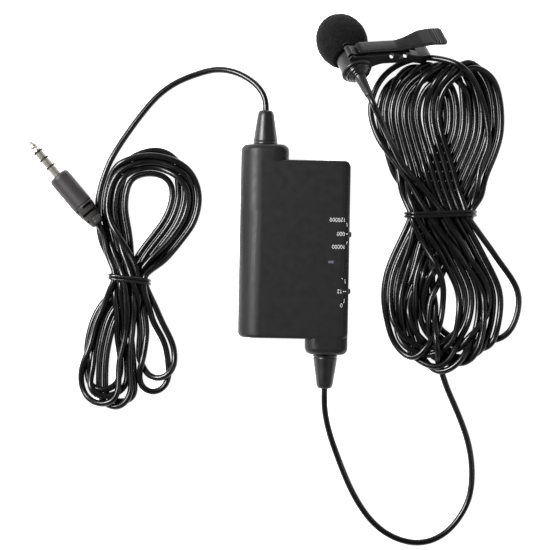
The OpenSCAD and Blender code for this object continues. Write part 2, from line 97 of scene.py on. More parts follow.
def shader(name, colour, roughness, **sockets):
    """A Principled material whose constant values sit on the shader's own sockets."""
    material = bpy.data.materials.new(name)
    material.use_nodes = True
    bsdf = principled(material)
    bsdf.inputs["Base Color"].default_value = (*colour, 1)
    bsdf.inputs["Roughness"].default_value = roughness
    for socket, value in sockets.items():
        bsdf.inputs[socket.replace("_", " ")].default_value = value
    return material


def new_node(material, kind, **sockets):
    """A shader node with some of its inputs set."""
    node = material.node_tree.nodes.new("ShaderNode" + kind)
    for socket, value in sockets.items():
        node.inputs[socket.replace("_", " ")].default_value = value
    return node


def connect(material, output, node, socket):
    material.node_tree.links.new(output, node.inputs[socket])


def principled(material):
    return material.node_tree.nodes["Principled BSDF"]


def add_noise(material, scale, detail=3.0, stretch=(1, 1, 1)):
    """A noise texture in object space, with its scale in features per metre."""
    mapping = new_node(material, "Mapping", Scale=stretch)
    texture = new_node(material, "TexNoise", Scale=scale, Detail=detail)
    connect(material, new_node(material, "TexCoord").outputs["Object"], mapping, "Vector")
    connect(material, mapping.outputs["Vector"], texture, "Vector")
    return texture.outputs["Fac"]


# The part of a noise's range that its values mostly fill
NOISE_LOW, NOISE_HIGH = 0.3, 0.7


def vary_colour(material, source, dark, light):
    """Blends between two colours by a grey source."""
    ramp = new_node(material, "ValToRGB")
    for stop, place, colour in zip(ramp.color_ramp.elements, (NOISE_LOW, NOISE_HIGH), (dark, light)):
        stop.position = place
        stop.color = (*colour, 1)
    connect(material, source, ramp, "Fac")
    connect(material, ramp.outputs["Color"], principled(material), "Base Color")


def vary_roughness(material, source, low, high):
    spread = new_node(material, "MapRange", From_Min=NOISE_LOW, From_Max=NOISE_HIGH,
                      To_Min=low, To_Max=high)
    connect(material, source, spread, "Value")
    connect(material, spread.outputs["Result"], principled(material), "Roughness")


def add_bump(material, source, strength, depth):
    """Bump from a grey source; depth in millimetres."""
    bump = new_node(material, "Bump", Strength=strength, Distance=depth * MM)
    connect(material, source, bump, "Height")
    connect(material, bump.outputs["Normal"], principled(material), "Normal")


def grained(name, colour, roughness, grain, depth, spread, **sockets):
    """Moulded plastic: a fine spark-eroded grain, mottled colour and uneven gloss."""
    material = shader(name, colour, roughness, **sockets)
    cloud = add_noise(material, 120.0, 4.0)
    vary_colour(material, cloud, [c * (1 - spread) for c in colour], [c * (1 + spread) for c in colour])
    vary_roughness(material, add_noise(material, 400.0), roughness - 0.05, roughness + 0.05)
    add_bump(material, add_noise(material, grain, 2.0), 0.6, depth)
    return material


def metal(name, colour, roughness, metallic=1.0):
    """Plated or drawn metal with fine scratches and a slight tarnish."""
    material = shader(name, colour, roughness, Metallic=metallic)
    cloud = add_noise(material, 200.0, 5.0)
    vary_colour(material, cloud, [c * 0.86 for c in colour], colour)
    scratches = add_noise(material, 900.0, 3.0, (1, 6, 1))
    vary_roughness(material, scratches, roughness * 0.7, roughness * 1.4)
    add_bump(material, scratches, 0.15, 0.002)
    return material


# Colour, roughness, grain per metre, depth of the grain, spread of the colour, specular level
PLASTICS = {
    "case_plastic": ((0.0092, 0.0092, 0.0092), 0.46, 5200, 0.005, 0.06, 0.22),
    "door_plastic": ((0.0150, 0.0150, 0.0155), 0.46, 5200, 0.008, 0.12, 0.35),
    "knob_plastic": ((0.006, 0.006, 0.0065), 0.34, 4000, 0.006, 0.12, 0.5),
    "relief_rubber": ((0.0085, 0.0085, 0.009), 0.36, 3000, 0.006, 0.12, 0.4),
    "cord_jacket": ((0.0026, 0.0025, 0.0026), 0.27, 300, 0.002, 0.2, 0.34),
    "tie_plastic": ((0.005, 0.005, 0.0055), 0.18, 900, 0.004, 0.12, 0.5),
    "handle_plastic": ((0.023, 0.0205, 0.0205), 0.50, 2600, 0.012, 0.2, 0.35),
    "boot_rubber": ((0.026, 0.023, 0.023), 0.48, 2600, 0.010, 0.2, 0.35),
    "housing_metal": ((0.0045, 0.0045, 0.005), 0.24, 2500, 0.004, 0.12, 0.5),
    "clip_plastic": ((0.0075, 0.0075, 0.0078), 0.34, 3800, 0.006, 0.12, 0.45),
    "insulator_plastic": ((0.006, 0.006, 0.006), 0.34, 3000, 0.005, 0.12, 0.5),
    "board": ((0.010, 0.075, 0.025), 0.35, 1800, 0.01, 0.25, 0.5),
    "components": ((0.030, 0.027, 0.024), 0.45, 2200, 0.01, 0.4, 0.5),
    "light_pipe": ((0.13, 0.12, 0.16), 0.28, 2400, 0.004, 0.1, 0.5),
    "ink": ((0.60, 0.60, 0.60), 0.55, 6000, 0.003, 0.06, 0.5)}
# Colour, roughness, metallic
METALS = {
    "gold_plating": ((0.98, 0.94, 0.84), 0.16, 0.93),
    "screw_steel": ((0.42, 0.42, 0.44), 0.30, 1.0),
    "cell_steel": ((0.66, 0.66, 0.67), 0.22, 1.0),
    "contact_steel": ((0.62, 0.60, 0.55), 0.26, 1.0),
    "switch_steel": ((0.55, 0.55, 0.56), 0.34, 1.0),
    "pin_steel": ((0.50, 0.50, 0.52), 0.22, 1.0),
    "spring_steel": ((0.45, 0.45, 0.47), 0.26, 1.0),
    "grille_metal": ((0.35, 0.35, 0.37), 0.35, 1.0),
    "capsule_steel": ((0.60, 0.58, 0.52), 0.30, 1.0)}


def make_materials():
    paint = {"foam": make_foam_material()}
    for name, (*numbers, specular) in PLASTICS.items():
        paint[name] = grained(name, *numbers, Specular_IOR_Level=specular)
    for name, numbers in METALS.items():
        paint[name] = metal(name, *numbers)
    principled(paint["light_pipe"]).inputs["Transmission Weight"].default_value = 0.25
    return paint


def make_foam_material():
    """Open-cell foam: one noise sinks each pore in the bump, darkens it as painted shade, and lightens the
    walls between as painted light.
    """
    colour = (0.0024, 0.0024, 0.0024)
    material = shader("foam", colour, 0.92, Specular_IOR_Level=0.1, Sheen_Weight=0.02,
                      Sheen_Roughness=0.6)
    pore_bump_and_painted_shade = add_noise(material, 1300.0, 4.0)
    # painted shade in each pore and painted light on the walls between, from the bump's own noise
    vary_colour(material, pore_bump_and_painted_shade, [c * 0.3 for c in colour], [c * 2.4 for c in colour])
    add_bump(material, pore_bump_and_painted_shade, 1.0, 0.30)
    return material


PAINT = make_materials()


# ---------- shapes that repeat ----------

def finish_mesh(piece, slot, sharp):
    """Material, smooth shading up to a sharp angle, and normals weighted by face area."""
    piece.data.materials.clear()
    piece.data.materials.append(PAINT[slot])
    mesh = piece.data
    mesh.shade_smooth()
    mesh.set_sharp_from_angle(angle=math.radians(sharp))
    piece.modifiers.new("weighted", "WEIGHTED_NORMAL").keep_sharp = True


def place(piece, body, slot, *nodes):
    """Joins a piece to its body and puts it in place of CAD nodes. The slot argument is not used."""
    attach(piece, body)
    if nodes:
        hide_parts(*nodes)
    return piece


def dress(piece, slot, sharp, body, *nodes):
    """Finishes a mesh and places it."""
    finish_mesh(piece, slot, sharp)
    return place(piece, body, slot, *nodes)


def new_object(name, points, faces, matrix=None):
    """A mesh object from points in millimetres, with its faces turned outwards."""
    mesh = bpy.data.meshes.new(name)
    mesh.from_pydata([tuple(p) for p in points], [], faces)
    work = bmesh.new()
    work.from_mesh(mesh)
    bmesh.ops.remove_doubles(work, verts=work.verts, dist=1e-5)
    bmesh.ops.recalc_face_normals(work, faces=work.faces)
    work.to_mesh(mesh)
    work.free()
    transform = Matrix.Scale(MM, 4)
    if matrix is not None:
        transform = transform @ matrix
    mesh.transform(transform)
    if transform.determinant() < 0:
        mesh.flip_normals()
    return link_new(name, mesh)


def loft(name, rings, matrix=None):
    """A closed solid through equal rings of points, with flat ends."""
    count = len(rings[0])
    points = [p for ring in rings for p in ring]
    faces = [list(range(count - 1, -1, -1))]
    for i in range(len(rings) - 1):
        for k in range(count):
            a = i * count + k
            b = i * count + (k + 1) % count
            faces.append([a, b, b + count, a + count])
    last = (len(rings) - 1) * count
    faces.append([last + k for k in range(count)])
    return new_object(name, points, faces, matrix)


def lathe(name, profile, matrix, sides=64):
    """A solid of revolution about local Z. The profile is (radius, height) points, and an end on
    the axis closes there. A profile that starts off the axis is closed into a ring."""
    points = []
    rows = []
    for radius, height in profile:
        if radius < 1e-6:
            rows.append([len(points)])
            points.append((0, 0, height))
        else:
            rows.append(list(range(len(points), len(points) + sides)))
            for k in range(sides):
                a = 2 * math.pi * k / sides
                points.append((radius * math.cos(a), radius * math.sin(a), height))
    if len(rows[0]) > 1:
        rows.append(rows[0])
    faces = []
    for low, high in zip(rows[:-1], rows[1:]):
        for k in range(sides):
            n = (k + 1) % sides
            if len(low) == 1 and len(high) == 1:
                continue
            if len(low) == 1:
                faces.append([low[0], high[n], high[k]])
            elif len(high) == 1:
                faces.append([low[k], low[n], high[0]])
            else:
                faces.append([low[k], low[n], high[n], high[k]])
    return new_object(name, points, faces, matrix)


def soften(profile, radius, steps=4):
    """Rounds the corners of a profile or outline, leaving its two ends where they are."""
    out = [profile[0]]
    for before, corner, after in zip(profile[:-2], profile[1:-1], profile[2:]):
        out += rounded_corner(before, corner, after, radius, steps)
    out.append(profile[-1])
    return out


def rounded_corner(before, corner, after, radius, steps):
    corner = Vector(corner)
    to_before = Vector(before) - corner
    to_after = Vector(after) - corner
    reach = min(radius, to_before.length * 0.48, to_after.length * 0.48)
    start = corner + to_before.normalized() * reach
    end = corner + to_after.normalized() * reach
    out = []
    for i in range(steps + 1):
        t = i / steps
        out.append(tuple((1 - t) ** 2 * start + 2 * t * (1 - t) * corner + t * t * end))
    return out


def plate(name, outline, radius, low, high, matrix, edge=0.3):
    """A flat outline with rounded corners, as a slab between two heights with bevelled edges."""
    loop = []
    count = len(outline)
    for i in range(count):
        loop += rounded_corner(outline[i - 1], outline[i], outline[(i + 1) % count], radius, 4)
    rings = []
    centre = sum((Vector(p) for p in loop), Vector((0, 0))) / len(loop)
    for height, inset in slab_rows(low, high, edge):
        rings.append([(*inset_point(loop, i, inset, centre), height) for i in range(len(loop))])
    return loft(name, rings, matrix)


def slab_rows(low, high, edge, steps=3):
    """Heights and insets of a slab whose two rims are rounded."""
    rows = []
    for i in range(steps + 1):
        a = math.pi / 2 * i / steps
        rows.append((low + edge * (1 - math.cos(a)), edge * (1 - math.sin(a))))
    return rows + [(low + high - z, inset) for z, inset in reversed(rows)]


def inset_point(loop, i, inset, centre):
    """A point of a closed loop moved inwards, square to the loop."""
    count = len(loop)
    before = Vector(loop[i - 1])
    after = Vector(loop[(i + 1) % count])
    along = (after - before).normalized()
    inwards = Vector((-along.y, along.x))
    if turns_left(loop) < 0:
        inwards = -inwards
    return tuple(Vector(loop[i]) + inwards * inset)


def turns_left(loop):
    """Twice the signed area of a loop: positive when it runs counter-clockwise."""
    return sum(a[0] * b[1] - b[0] * a[1] for a, b in zip(loop, loop[1:] + loop[:1]))


def rounded_box(name, low, high, edge, matrix=None):
    """A box with all its edges rounded."""
    x0, y0, z0 = low
    x1, y1, z1 = high
    rings = []
    for z, inset in slab_rows(z0, z1, edge):
        rings.append([(x, y, z) for x, y in box_outline(x0, x1, y0, y1, edge, edge, inset, 3)])
    return loft(name, rings, matrix)


def box_outline(x0, x1, y0, y1, left, right, inset=0.0, steps=8):
    """Closed outline of a rectangle set in by inset, with its own radius on each side."""
    corners = ((x1, y0, right, -90), (x1, y1, right, 0), (x0, y1, left, 90), (x0, y0, left, 180))
    loop = []
    for x, y, radius, start in corners:
        centre_x = x - radius if x == x1 else x + radius
        centre_y = y - radius if y == y1 else y + radius
        reach = max(radius - inset, 0.02)
        for i in range(steps + 1):
            a = math.radians(start + 90 * i / steps)
            loop.append((centre_x + reach * math.cos(a), centre_y + reach * math.sin(a)))
    return loop


def plain_cutter(low, high, matrix=None):
    """A sharp box to cut with."""
    x0, y0, z0 = low
    x1, y1, z1 = high
    square = ((x0, y0), (x1, y0), (x1, y1), (x0, y1))
    return loft("cutter", [[(x, y, z) for x, y in square] for z in (z0, z1)], matrix)


def round_cutter(radius, low, high, matrix, sides=48):
    return lathe("cutter", [(0, low), (radius, low), (radius, high), (0, high)], matrix, sides)


def combine(piece, tool, operation):
    """Applies an exact boolean to the piece and removes the tool."""
    modifier = piece.modifiers.new("boolean", "BOOLEAN")
    modifier.operation = operation
    modifier.solver = "EXACT"
    modifier.object = tool
    bpy.context.view_layer.update()
    shape = piece.evaluated_get(bpy.context.evaluated_depsgraph_get())
    mesh = bpy.data.meshes.new_from_object(shape)
    piece.modifiers.clear()
    piece.data = mesh
    bpy.data.objects.remove(tool)


def cut(piece, tool):
    combine(piece, tool, "DIFFERENCE")


def fuse(piece, tool):
    combine(piece, tool, "UNION")


def tube(name, path, radius, sides=12):
    """A mesh tube along points in millimetres."""
    along = np.gradient(path, axis=0)
    along /= np.linalg.norm(along, axis=1)[:, None]
    side = np.cross(along[0], (0.3, 0.2, 0.93))
    rings = []
    for centre, direction in zip(path, along):
        side = side - direction * side.dot(direction)
        side /= np.linalg.norm(side)
        up = np.cross(direction, side)
        ring = []
        for k in range(sides):
            a = 2 * math.pi * k / sides
            ring.append(centre + radius * (math.cos(a) * side + math.sin(a) * up))
        rings.append(ring)
    return loft(name, rings)


# ---------- cords ----------

# Routes where a cord isn't coiled, as in the CAD source
PHONE_LEAD = [(-9.8, 44.1, 7.5), (-9.9, 47, 7.3), (-11.5, 50.5, 6.6), (-15.5, 54.2, 5),
              (-20.5, 56.6, 3.2), (-26, 57.3, 1.9), (-31.5, 56, 1.2), (-39, 52.8, 1),
              (-44.6, 48.6, 1), (-49.2, 43.2, 1), (-54, 36.5, 1), (-57.5, 31, 1.3), (-60, 26, 1.8)]
PHONE_TAIL = [(-61.2, 4.6, 2.8), (-62.6, 6.7, 3.1), (-63.8, 8.3, 3.4)]
MIC_LEAD = [(10.5, -44.1, 7.5), (10.5, -46.8, 7.3), (10.6, -49.5, 6.6), (11.3, -54, 5),
            (12.8, -59.5, 3.4), (14.8, -65, 2.1), (17, -70.5, 1.4), (19.5, -76, 1.1),
            (22.5, -81.3, 1), (26.5, -86.5, 1), (31.3, -90.4, 1), (38, -93, 1), (44.5, -92.9, 1),
            (50.5, -89.8, 1), (55, -84.5, 1), (57.6, -79, 1), (58.5, -73, 1), (58.2, -66.5, 1),
            (57, -60.5, 1), (55, -54.8, 1), (52.5, -49, 1), (50, -43.5, 1), (48.2, -38.5, 1.2),
            (47.2, -34.6, 2)]
MIC_TAIL = [(34, 27.6, 7.6), (31.8, 31.4, 9.8), (29.4, 35.3, 13.6), (27.2, 39, 18),
            (25.2, 42.6, 21.2), (23.6, 45.8, 21.9), (22.42, 48.3, 20.62)]

PHONE_TIE = (-52.4, -10.5)
MIC_TIE = (46.8, 12.2)


def smooth_path(points, spacing):
    """Evenly spaced points on a centripetal Catmull-Rom curve through the given ones."""
    p = np.array(points, float)
    p = np.vstack([2 * p[0] - p[1], p, 2 * p[-1] - p[-2]])
    fine = []
    for a, b, c, d in zip(p[:-3], p[1:-2], p[2:-1], p[3:]):
        ta = 0.0
        tb = ta + math.sqrt(np.linalg.norm(b - a))
        tc = tb + math.sqrt(np.linalg.norm(c - b))
        td = tc + math.sqrt(np.linalg.norm(d - c))
        count = max(4, int(np.linalg.norm(c - b) / spacing * 3))
        for t in np.linspace(tb, tc, count, endpoint=False):
            ab = (tb - t) / (tb - ta) * a + (t - ta) / (tb - ta) * b
            bc = (tc - t) / (tc - tb) * b + (t - tb) / (tc - tb) * c
            cd = (td - t) / (td - tc) * c + (t - tc) / (td - tc) * d
            abc = (tc - t) / (tc - ta) * ab + (t - ta) / (tc - ta) * bc
            bcd = (td - t) / (td - tb) * bc + (t - tb) / (td - tb) * cd
            fine.append((tc - t) / (tc - tb) * abc + (t - tb) / (tc - tb) * bcd)
    fine.append(p[-2])
    return even_path(np.array(fine), spacing)


def even_path(p, spacing):
    """The same line with its points the given distance apart."""
    along = np.r_[0, np.cumsum(np.linalg.norm(np.diff(p, axis=0), axis=1))]
    count = int(round(along[-1] / spacing)) + 1
    places = np.linspace(0, along[-1], count)
    return np.stack([np.interp(places, along, p[:, k]) for k in range(3)], 1)


def close_pairs(p, reach, apart):
    """Index pairs of points nearer than reach and more than apart steps from each other."""
    square = (p ** 2).sum(1)
    found = []
    for start in range(0, len(p), 512):
        block = slice(start, start + 512)
        distance2 = square[block, None] + square[None, :] - 2 * p[block] @ p.T
        i, j = np.nonzero(distance2 < reach * reach)
        i = i + start
        keep = j > i + apart
        found.append(np.stack([i[keep], j[keep]], 1))
    return np.concatenate(found)


def segment_gap(p, i, j):
    """Where the segments from i and from j come nearest, and the vector between them there."""
    along_i = p[i + 1] - p[i]
    along_j = p[j + 1] - p[j]
    between = p[i] - p[j]
    ii = (along_i * along_i).sum(1)
    jj = (along_j * along_j).sum(1)
    ij = (along_i * along_j).sum(1)
    ib = (along_i * between).sum(1)
    jb = (along_j * between).sum(1)
    spread = ii * jj - ij * ij
    s = np.where(spread > 1e-9, (ij * jb - jj * ib) / np.maximum(spread, 1e-9), 0.5)
    s = np.clip(s, 0, 1)
    t = np.clip((ij * s + jb) / jj, 0, 1)
    s = np.clip((ij * t - ib) / ii, 0, 1)
    return s, t, between + s[:, None] * along_i - t[:, None] * along_j


# Settling: how far apart in steps two points of a cord have to be to push each other, how near
# they have to be to be looked at, how often near pairs are found again, and pushes per step
APART = 4
LOOK = 2.2 * CORD_D
PAIRS_EVERY = 8
PUSHES = 6
# The drawn cord: spacing of its points, and how often small bends are taken out
FINE_STEP = 0.8
EASINGS = 6


def settle(template, held, tie, steps):
    """Lets the strands of a hank down onto the surface and off each other.

    held marks the points that stay. tie is the middle, half width and half depth of the tie, and
    the lowest and highest centre line in it. Each strand is drawn back to its template's place."""
    pull = 0.01
    sink = 0.03
    gap_wanted = CORD_D + 0.05
    tie_x, tie_y, half_w, half_d, low_z, high_z = tie
    p = template.copy()
    for step in range(steps):
        if step % PAIRS_EVERY == 0:
            pairs = close_pairs(p[:-1], LOOK, APART)
            i, j = pairs[:, 0], pairs[:, 1]
        move = np.zeros_like(p)
        move[:, :2] = pull * (template[:, :2] - p[:, :2])
        move[:, 2] = -sink * np.clip(p[:, 2] - CORD_R, 0, 1)
        move[held] = 0
        p += move
        for _ in range(PUSHES):
            s, t, gap = segment_gap(p, i, j)
            distance = np.linalg.norm(gap, axis=1)
            hit = distance < gap_wanted
            near = np.maximum(distance[hit], 1e-6)
            push = gap[hit] / near[:, None] * ((gap_wanted - near) / 2)[:, None]
            total = np.zeros_like(p)
            weight = np.zeros(len(p))
            ends = ((i[hit], 1 - s[hit], 1), (i[hit] + 1, s[hit], 1),
                    (j[hit], 1 - t[hit], -1), (j[hit] + 1, t[hit], -1))
            for index, share, sign in ends:
                np.add.at(total, index, sign * push * share[:, None])
                np.add.at(weight, index, share)
            total /= np.maximum(weight, 1)[:, None]
            total[held] = 0
            p += total
            p[:, 2] = np.maximum(p[:, 2], CORD_R)
            inside = np.abs(p[:, 1] - tie_y) < half_d
            p[inside, 0] = np.clip(p[inside, 0], tie_x - half_w, tie_x + half_w)
            p[inside, 2] = np.clip(p[inside, 2], low_z, high_z)
        # the cord is stiff, so what has moved is spread along it
        shift = p - template
        kept = shift[held].copy()
        for _ in range(smoothing_rounds(step / steps)):
            shift[1:-1] = 0.25 * shift[:-2] + 0.5 * shift[1:-1] + 0.25 * shift[2:]
        shift[held] = kept
        p = template + shift
    return p


def smoothing_rounds(done):
    """How often a moved strand is smoothed, less as the settling gets on, so that it stays apart."""
    if done < 0.6:
        return 4
    return 2 if done < 0.85 else 1


def eased(p, times):
    """The same line with its small bends taken out; its ends stay."""
    for _ in range(times):
        p[1:-1] = 0.25 * p[:-2] + 0.5 * p[1:-1] + 0.25 * p[2:]
    return p


def settled_cord(route, lead, tail, tie, steps):
    """The cord's centre line: its route, with the hank between lead and tail settled."""
    template = smooth_path(route, STEP)
    held = np.zeros(len(template), bool)
    third = len(template) // 3
    lead_end = np.argmin(np.linalg.norm(template[:third] - np.array(lead[-1], float), axis=1))
    tail_start = np.argmin(np.linalg.norm(template[-third:] - np.array(tail[0], float), axis=1))
    held[:lead_end - 2] = True
    held[len(template) - third + tail_start:] = True
    template = settle(template, held, tie, steps)
    every_other = np.vstack([template[:-1:2], template[-1:]])
    return eased(smooth_path(every_other, FINE_STEP), EASINGS)


# Phone cord hank. Upper turns: left, right, top, where the top is between them, height there
PHONE_UPPER = [
    (-57.1, -36.6, 30.2, 0.66, 1.6),
    (-58.3, -35.2, 29.2, 0.62, 1.4),
    (-55.2, -38.1, 24.9, 0.50, 1.2),
    (-58.4, -34.3, 26.4, 0.52, 3.0),
    (-59.4, -33.2, 27.2, 0.50, 3.4),
    (-60.4, -32.1, 28.2, 0.50, 4.0)]
PHONE_UPPER_MID = 14.5
# Lower turns: x at three places on the way down, the bottom, x at two places on the way back up,
# and the height in the bundle
PHONE_LOWER = [
    (-55.4, -55.9, -54.4, -60.2, -46.4, -65.4, -62.4, 2.2),
    (-52.0, -51.2, -49.8, -54.6, -51.2, -59.9, -57.4, 2.2),
    (-53.6, -54.2, -53.0, -57.8, -47.8, -62.2, -59.6, 2.2),
    (-51.0, -51.8, -51.4, -56.4, -49.6, -61.0, -58.4, 3.6),
    (-49.6, -48.9, -50.0, -43.4, -42.2, -38.6, -43.5, 1.4),
    (-48.6, -47.4, -49.2, -45.2, -46.6, -41.2, -46.4, 1.2),
    (-53.8, -53.0, -55.2, -61.2, -49.8, -63.6, -60.4, 4.6)]
# Where each turn passes the tie on the way down and on the way up: across it, and the height
PHONE_DOWN_TIE = [(-3.2, 3.4), (-0.6, 3.8), (-1.6, 4.6), (1.0, 4.2), (2.0, 5.2), (3.0, 5.4),
                  (-2.4, 5.8)]
PHONE_UP_TIE = [(1.2, 2.1), (2.2, 2.1), (0.4, 2.1), (3.0, 3.2), (3.4, 4.6), (4.1, 5.6),
                (-4.1, 3.9)]
FOLD_R = 5.4


def fold(x, y, side, first_z, low_z, last_z):
    """Points on an arc through the lowest point of a fold, from one side of it to the other."""
    points = []
    for turn, z in ((-75, first_z), (-40, (first_z + low_z) / 2), (0, low_z), (40, low_z), (75, last_z)):
        a = math.radians(turn)
        points.append((x + side * FOLD_R * math.sin(a), y + FOLD_R * (1 - math.cos(a)), z))
    return points


def phone_lower_turn(k, turn):
    down_1, down_2, down_3, bottom_x, bottom_y, up_1, up_2, height = turn
    side = 1 if up_1 > bottom_x else -1
    last = k == len(PHONE_LOWER) - 1
    down_x, down_z = PHONE_DOWN_TIE[k]
    up_x, up_z = PHONE_UP_TIE[k]
    return [
        (PHONE_TIE[0] + down_x, PHONE_TIE[1], down_z),
        (down_1, -18.5, height + 1.2),
        (down_2, -27.0, height + 0.8),
        (down_3, -36.5, height + 0.6),
        *fold(bottom_x, bottom_y, side, height, 2.6 if last else 1.3, 1.2),
        (bottom_x + side * 5.5, bottom_y + 7.4, 1.1),
        (up_1, -31.0, 1.2),
        (up_2, -22.0, 1.3),
        (PHONE_TIE[0] + up_x, PHONE_TIE[1], up_z)]


def phone_upper_turn(k, turn):
    left, right, top, share, height = turn
    # 0 for the innermost strand on the right and 1 for the outermost
    outer = (right + 38.1) / 6.0
    top_x = left + (right - left) * share
    rise = top - PHONE_UPPER_MID
    arc = 0.74
    next_x = PHONE_TIE[0] + PHONE_DOWN_TIE[k + 1][0]
    return [
        (-48.8 + 6.4 * outer, -3.2, 1.6 + height * 0.3),
        (-43.8 + 6.8 * outer, 3.4, 1.4 + height * 0.3),
        (-40.4 + 7.2 * outer, 9.0, 1.2 + height * 0.4),
        (right, PHONE_UPPER_MID + 2.5, height * 0.6 + 0.6),
        (top_x + (right - top_x) * arc, PHONE_UPPER_MID + rise * arc, height),
        (top_x, top, height),
        (top_x - (top_x - left) * arc, PHONE_UPPER_MID + rise * arc, height),
        (left, PHONE_UPPER_MID - 1, height * 0.8 + 0.6),
        (left * 0.58 + next_x * 0.42, 1.0, height * 0.5 + 1.6)]


def phone_cord_path():
    route = PHONE_LEAD + [(-62.8, 15.4, 1.6), (-62.7, 8.0, 1.2), (-61.6, 1.9, 1.6), (-57.9, -5.1, 2.8)]
    for k, turn in enumerate(PHONE_LOWER):
        route = route + phone_lower_turn(k, turn)
        if k < len(PHONE_UPPER):
            route = route + phone_upper_turn(k, PHONE_UPPER[k])
    route = route + [(-58.8, -2.6, 3.4)] + PHONE_TAIL
    tie = (*PHONE_TIE, 4.5, 1.2, 2.05, 6.0)
    return settled_cord(route, PHONE_LEAD, PHONE_TAIL, tie, 400)


# Microphone cord hank: a figure of eight through the tie.
# Upper lobes: left, right, top, and where the top is between left and right
MIC_UPPER = [
    (27.0, 47.9, 58.6, 0.60), (28.3, 50.4, 59.4, 0.62), (30.5, 51.7, 59.0, 0.64),
    (33.0, 54.3, 58.4, 0.64), (34.8, 56.0, 58.2, 0.62), (36.6, 57.5, 58.4, 0.60),
    (38.7, 59.4, 58.8, 0.60), (41.4, 61.3, 59.6, 0.58), (43.7, 62.9, 60.4, 0.55),
    (45.4, 64.5, 60.6, 0.50), (23.9, 61.6, 61.2, 0.36)]
MIC_UPPER_MID = 43.0
# Lower lobes: left, right, bottom, and where the bottom is between left and right
MIC_LOWER = [
    (30.8, 47.6, -34.0, 0.50), (33.8, 53.0, -32.6, 0.50), (32.0, 55.5, -31.0, 0.50),
    (35.0, 57.7, -35.2, 0.55), (36.6, 59.8, -35.4, 0.55), (38.2, 61.8, -34.2, 0.55),
    (39.8, 64.0, -33.2, 0.55), (41.4, 66.2, -31.8, 0.55), (43.0, 72.4, -30.2, 0.60),
    (42.2, 60.8, -34.6, 0.50), (37.0, 62.6, -33.0, 0.55)]
MIC_LOWER_MID = -16.5
# Where the front strands pass the tie: across it, and the height
MIC_FRONT = [(-6.4, 4.2), (-10.4, 5.0), (-8.6, 5.2), (-4.4, 5.0), (-2.4, 5.2), (-0.4, 5.0),
             (1.6, 5.2), (3.6, 5.0), (5.6, 5.2), (8.6, 5.0), (-4.4, 6.7), (0.2, 6.7)]


def mic_turn(k, last):
    """One figure of eight: up the left, over, down the right, and round the lower lobe."""
    arc = 0.72
    share_done = k / last
    odd = k % 2
    left, right, top, share = MIC_UPPER[k]
    front_x = MIC_TIE[0] + MIC_FRONT[k][0]
    back_x = MIC_TIE[0] - 9.0 + 18.0 * share_done
    next_x = MIC_TIE[0] + MIC_FRONT[k + 1][0]
    lift = 2.8 if k == last else 2.0 * share_done
    top_x = left + (right - left) * share
    rise = top - MIC_UPPER_MID
    low_left, low_right, bottom, low_share = MIC_LOWER[k]
    bottom_x = low_left + (low_right - low_left) * low_share
    drop = MIC_LOWER_MID - bottom
    over = 1.8 if k >= last - 1 else 0.0
    return [
        (front_x, MIC_TIE[1], MIC_FRONT[k][1]),
        (left * 0.55 + front_x * 0.45, 28, 3.6 + lift * 0.6),
        (left, MIC_UPPER_MID + 2, 2.2 + lift),
        (top_x - (top_x - left) * arc, MIC_UPPER_MID + rise * arc, 2.6 + lift),
        (top_x, top, 2.2 + lift),
        (top_x + (right - top_x) * arc, MIC_UPPER_MID + rise * arc, 1.8 + lift),
        (right, MIC_UPPER_MID - (6 if k == last else 3), 1.2 + lift),
        (back_x * 0.45 + right * 0.55, 26.5, 1.2 + lift * 0.6),
        (back_x, MIC_TIE[1], 1.9 + 1.7 * odd),
        ((back_x + low_left) / 2 - 0.3, -0.5, 1.4 + 0.6 * odd),
        (low_left, MIC_LOWER_MID + 2, 1.3 + 0.8 * odd),
        (bottom_x - (bottom_x - low_left) * arc, MIC_LOWER_MID - drop * arc, 1.6 + 0.6 * share_done),
        (bottom_x, bottom, 2.4 - 0.6 * share_done),
        (bottom_x + (low_right - bottom_x) * arc, MIC_LOWER_MID - drop * arc, 3.0 + over),
        (low_right, MIC_LOWER_MID + 3, 3.6 + over),
        ((next_x + low_right) / 2 + 0.6, -0.5, 4.4 + over)]


def mic_cord_path():
    last = len(MIC_UPPER) - 1
    route = MIC_LEAD + [(46.4, -30.5, 4.0), (45.3, -26, 4.6), (44.9, -20, 2.6), (44.6, -13.7, 1.6),
                        (44.2, -6, 1.6), (43.2, 2, 2.4)]
    for k in range(len(MIC_UPPER)):
        route = route + mic_turn(k, last)
    end_x, end_z = MIC_FRONT[-1]
    route = route + [(MIC_TIE[0] + end_x, MIC_TIE[1], end_z), (40.6, 20.5, 7.2)] + MIC_TAIL
    tie = (*MIC_TIE, 9.4, 1.4, 2.05, 6.9)
    return settled_cord(route, MIC_LEAD, MIC_TAIL, tie, 300)


def cord_curve(name, path):
    """A round cord along a centre line, as one open spline."""
    data = bpy.data.curves.new(name, "CURVE")
    data.dimensions = "3D"
    data.bevel_depth = CORD_R * MM
    data.bevel_resolution = 4
    data.use_fill_caps = True
    spline = data.splines.new("POLY")
    spline.points.add(len(path) - 1)
    spline.points.foreach_set("co", np.c_[path * MM, np.ones(len(path))].ravel())
    spline.use_smooth = True
    data.materials.append(PAINT["cord_jacket"])
    return link_new(name, data)


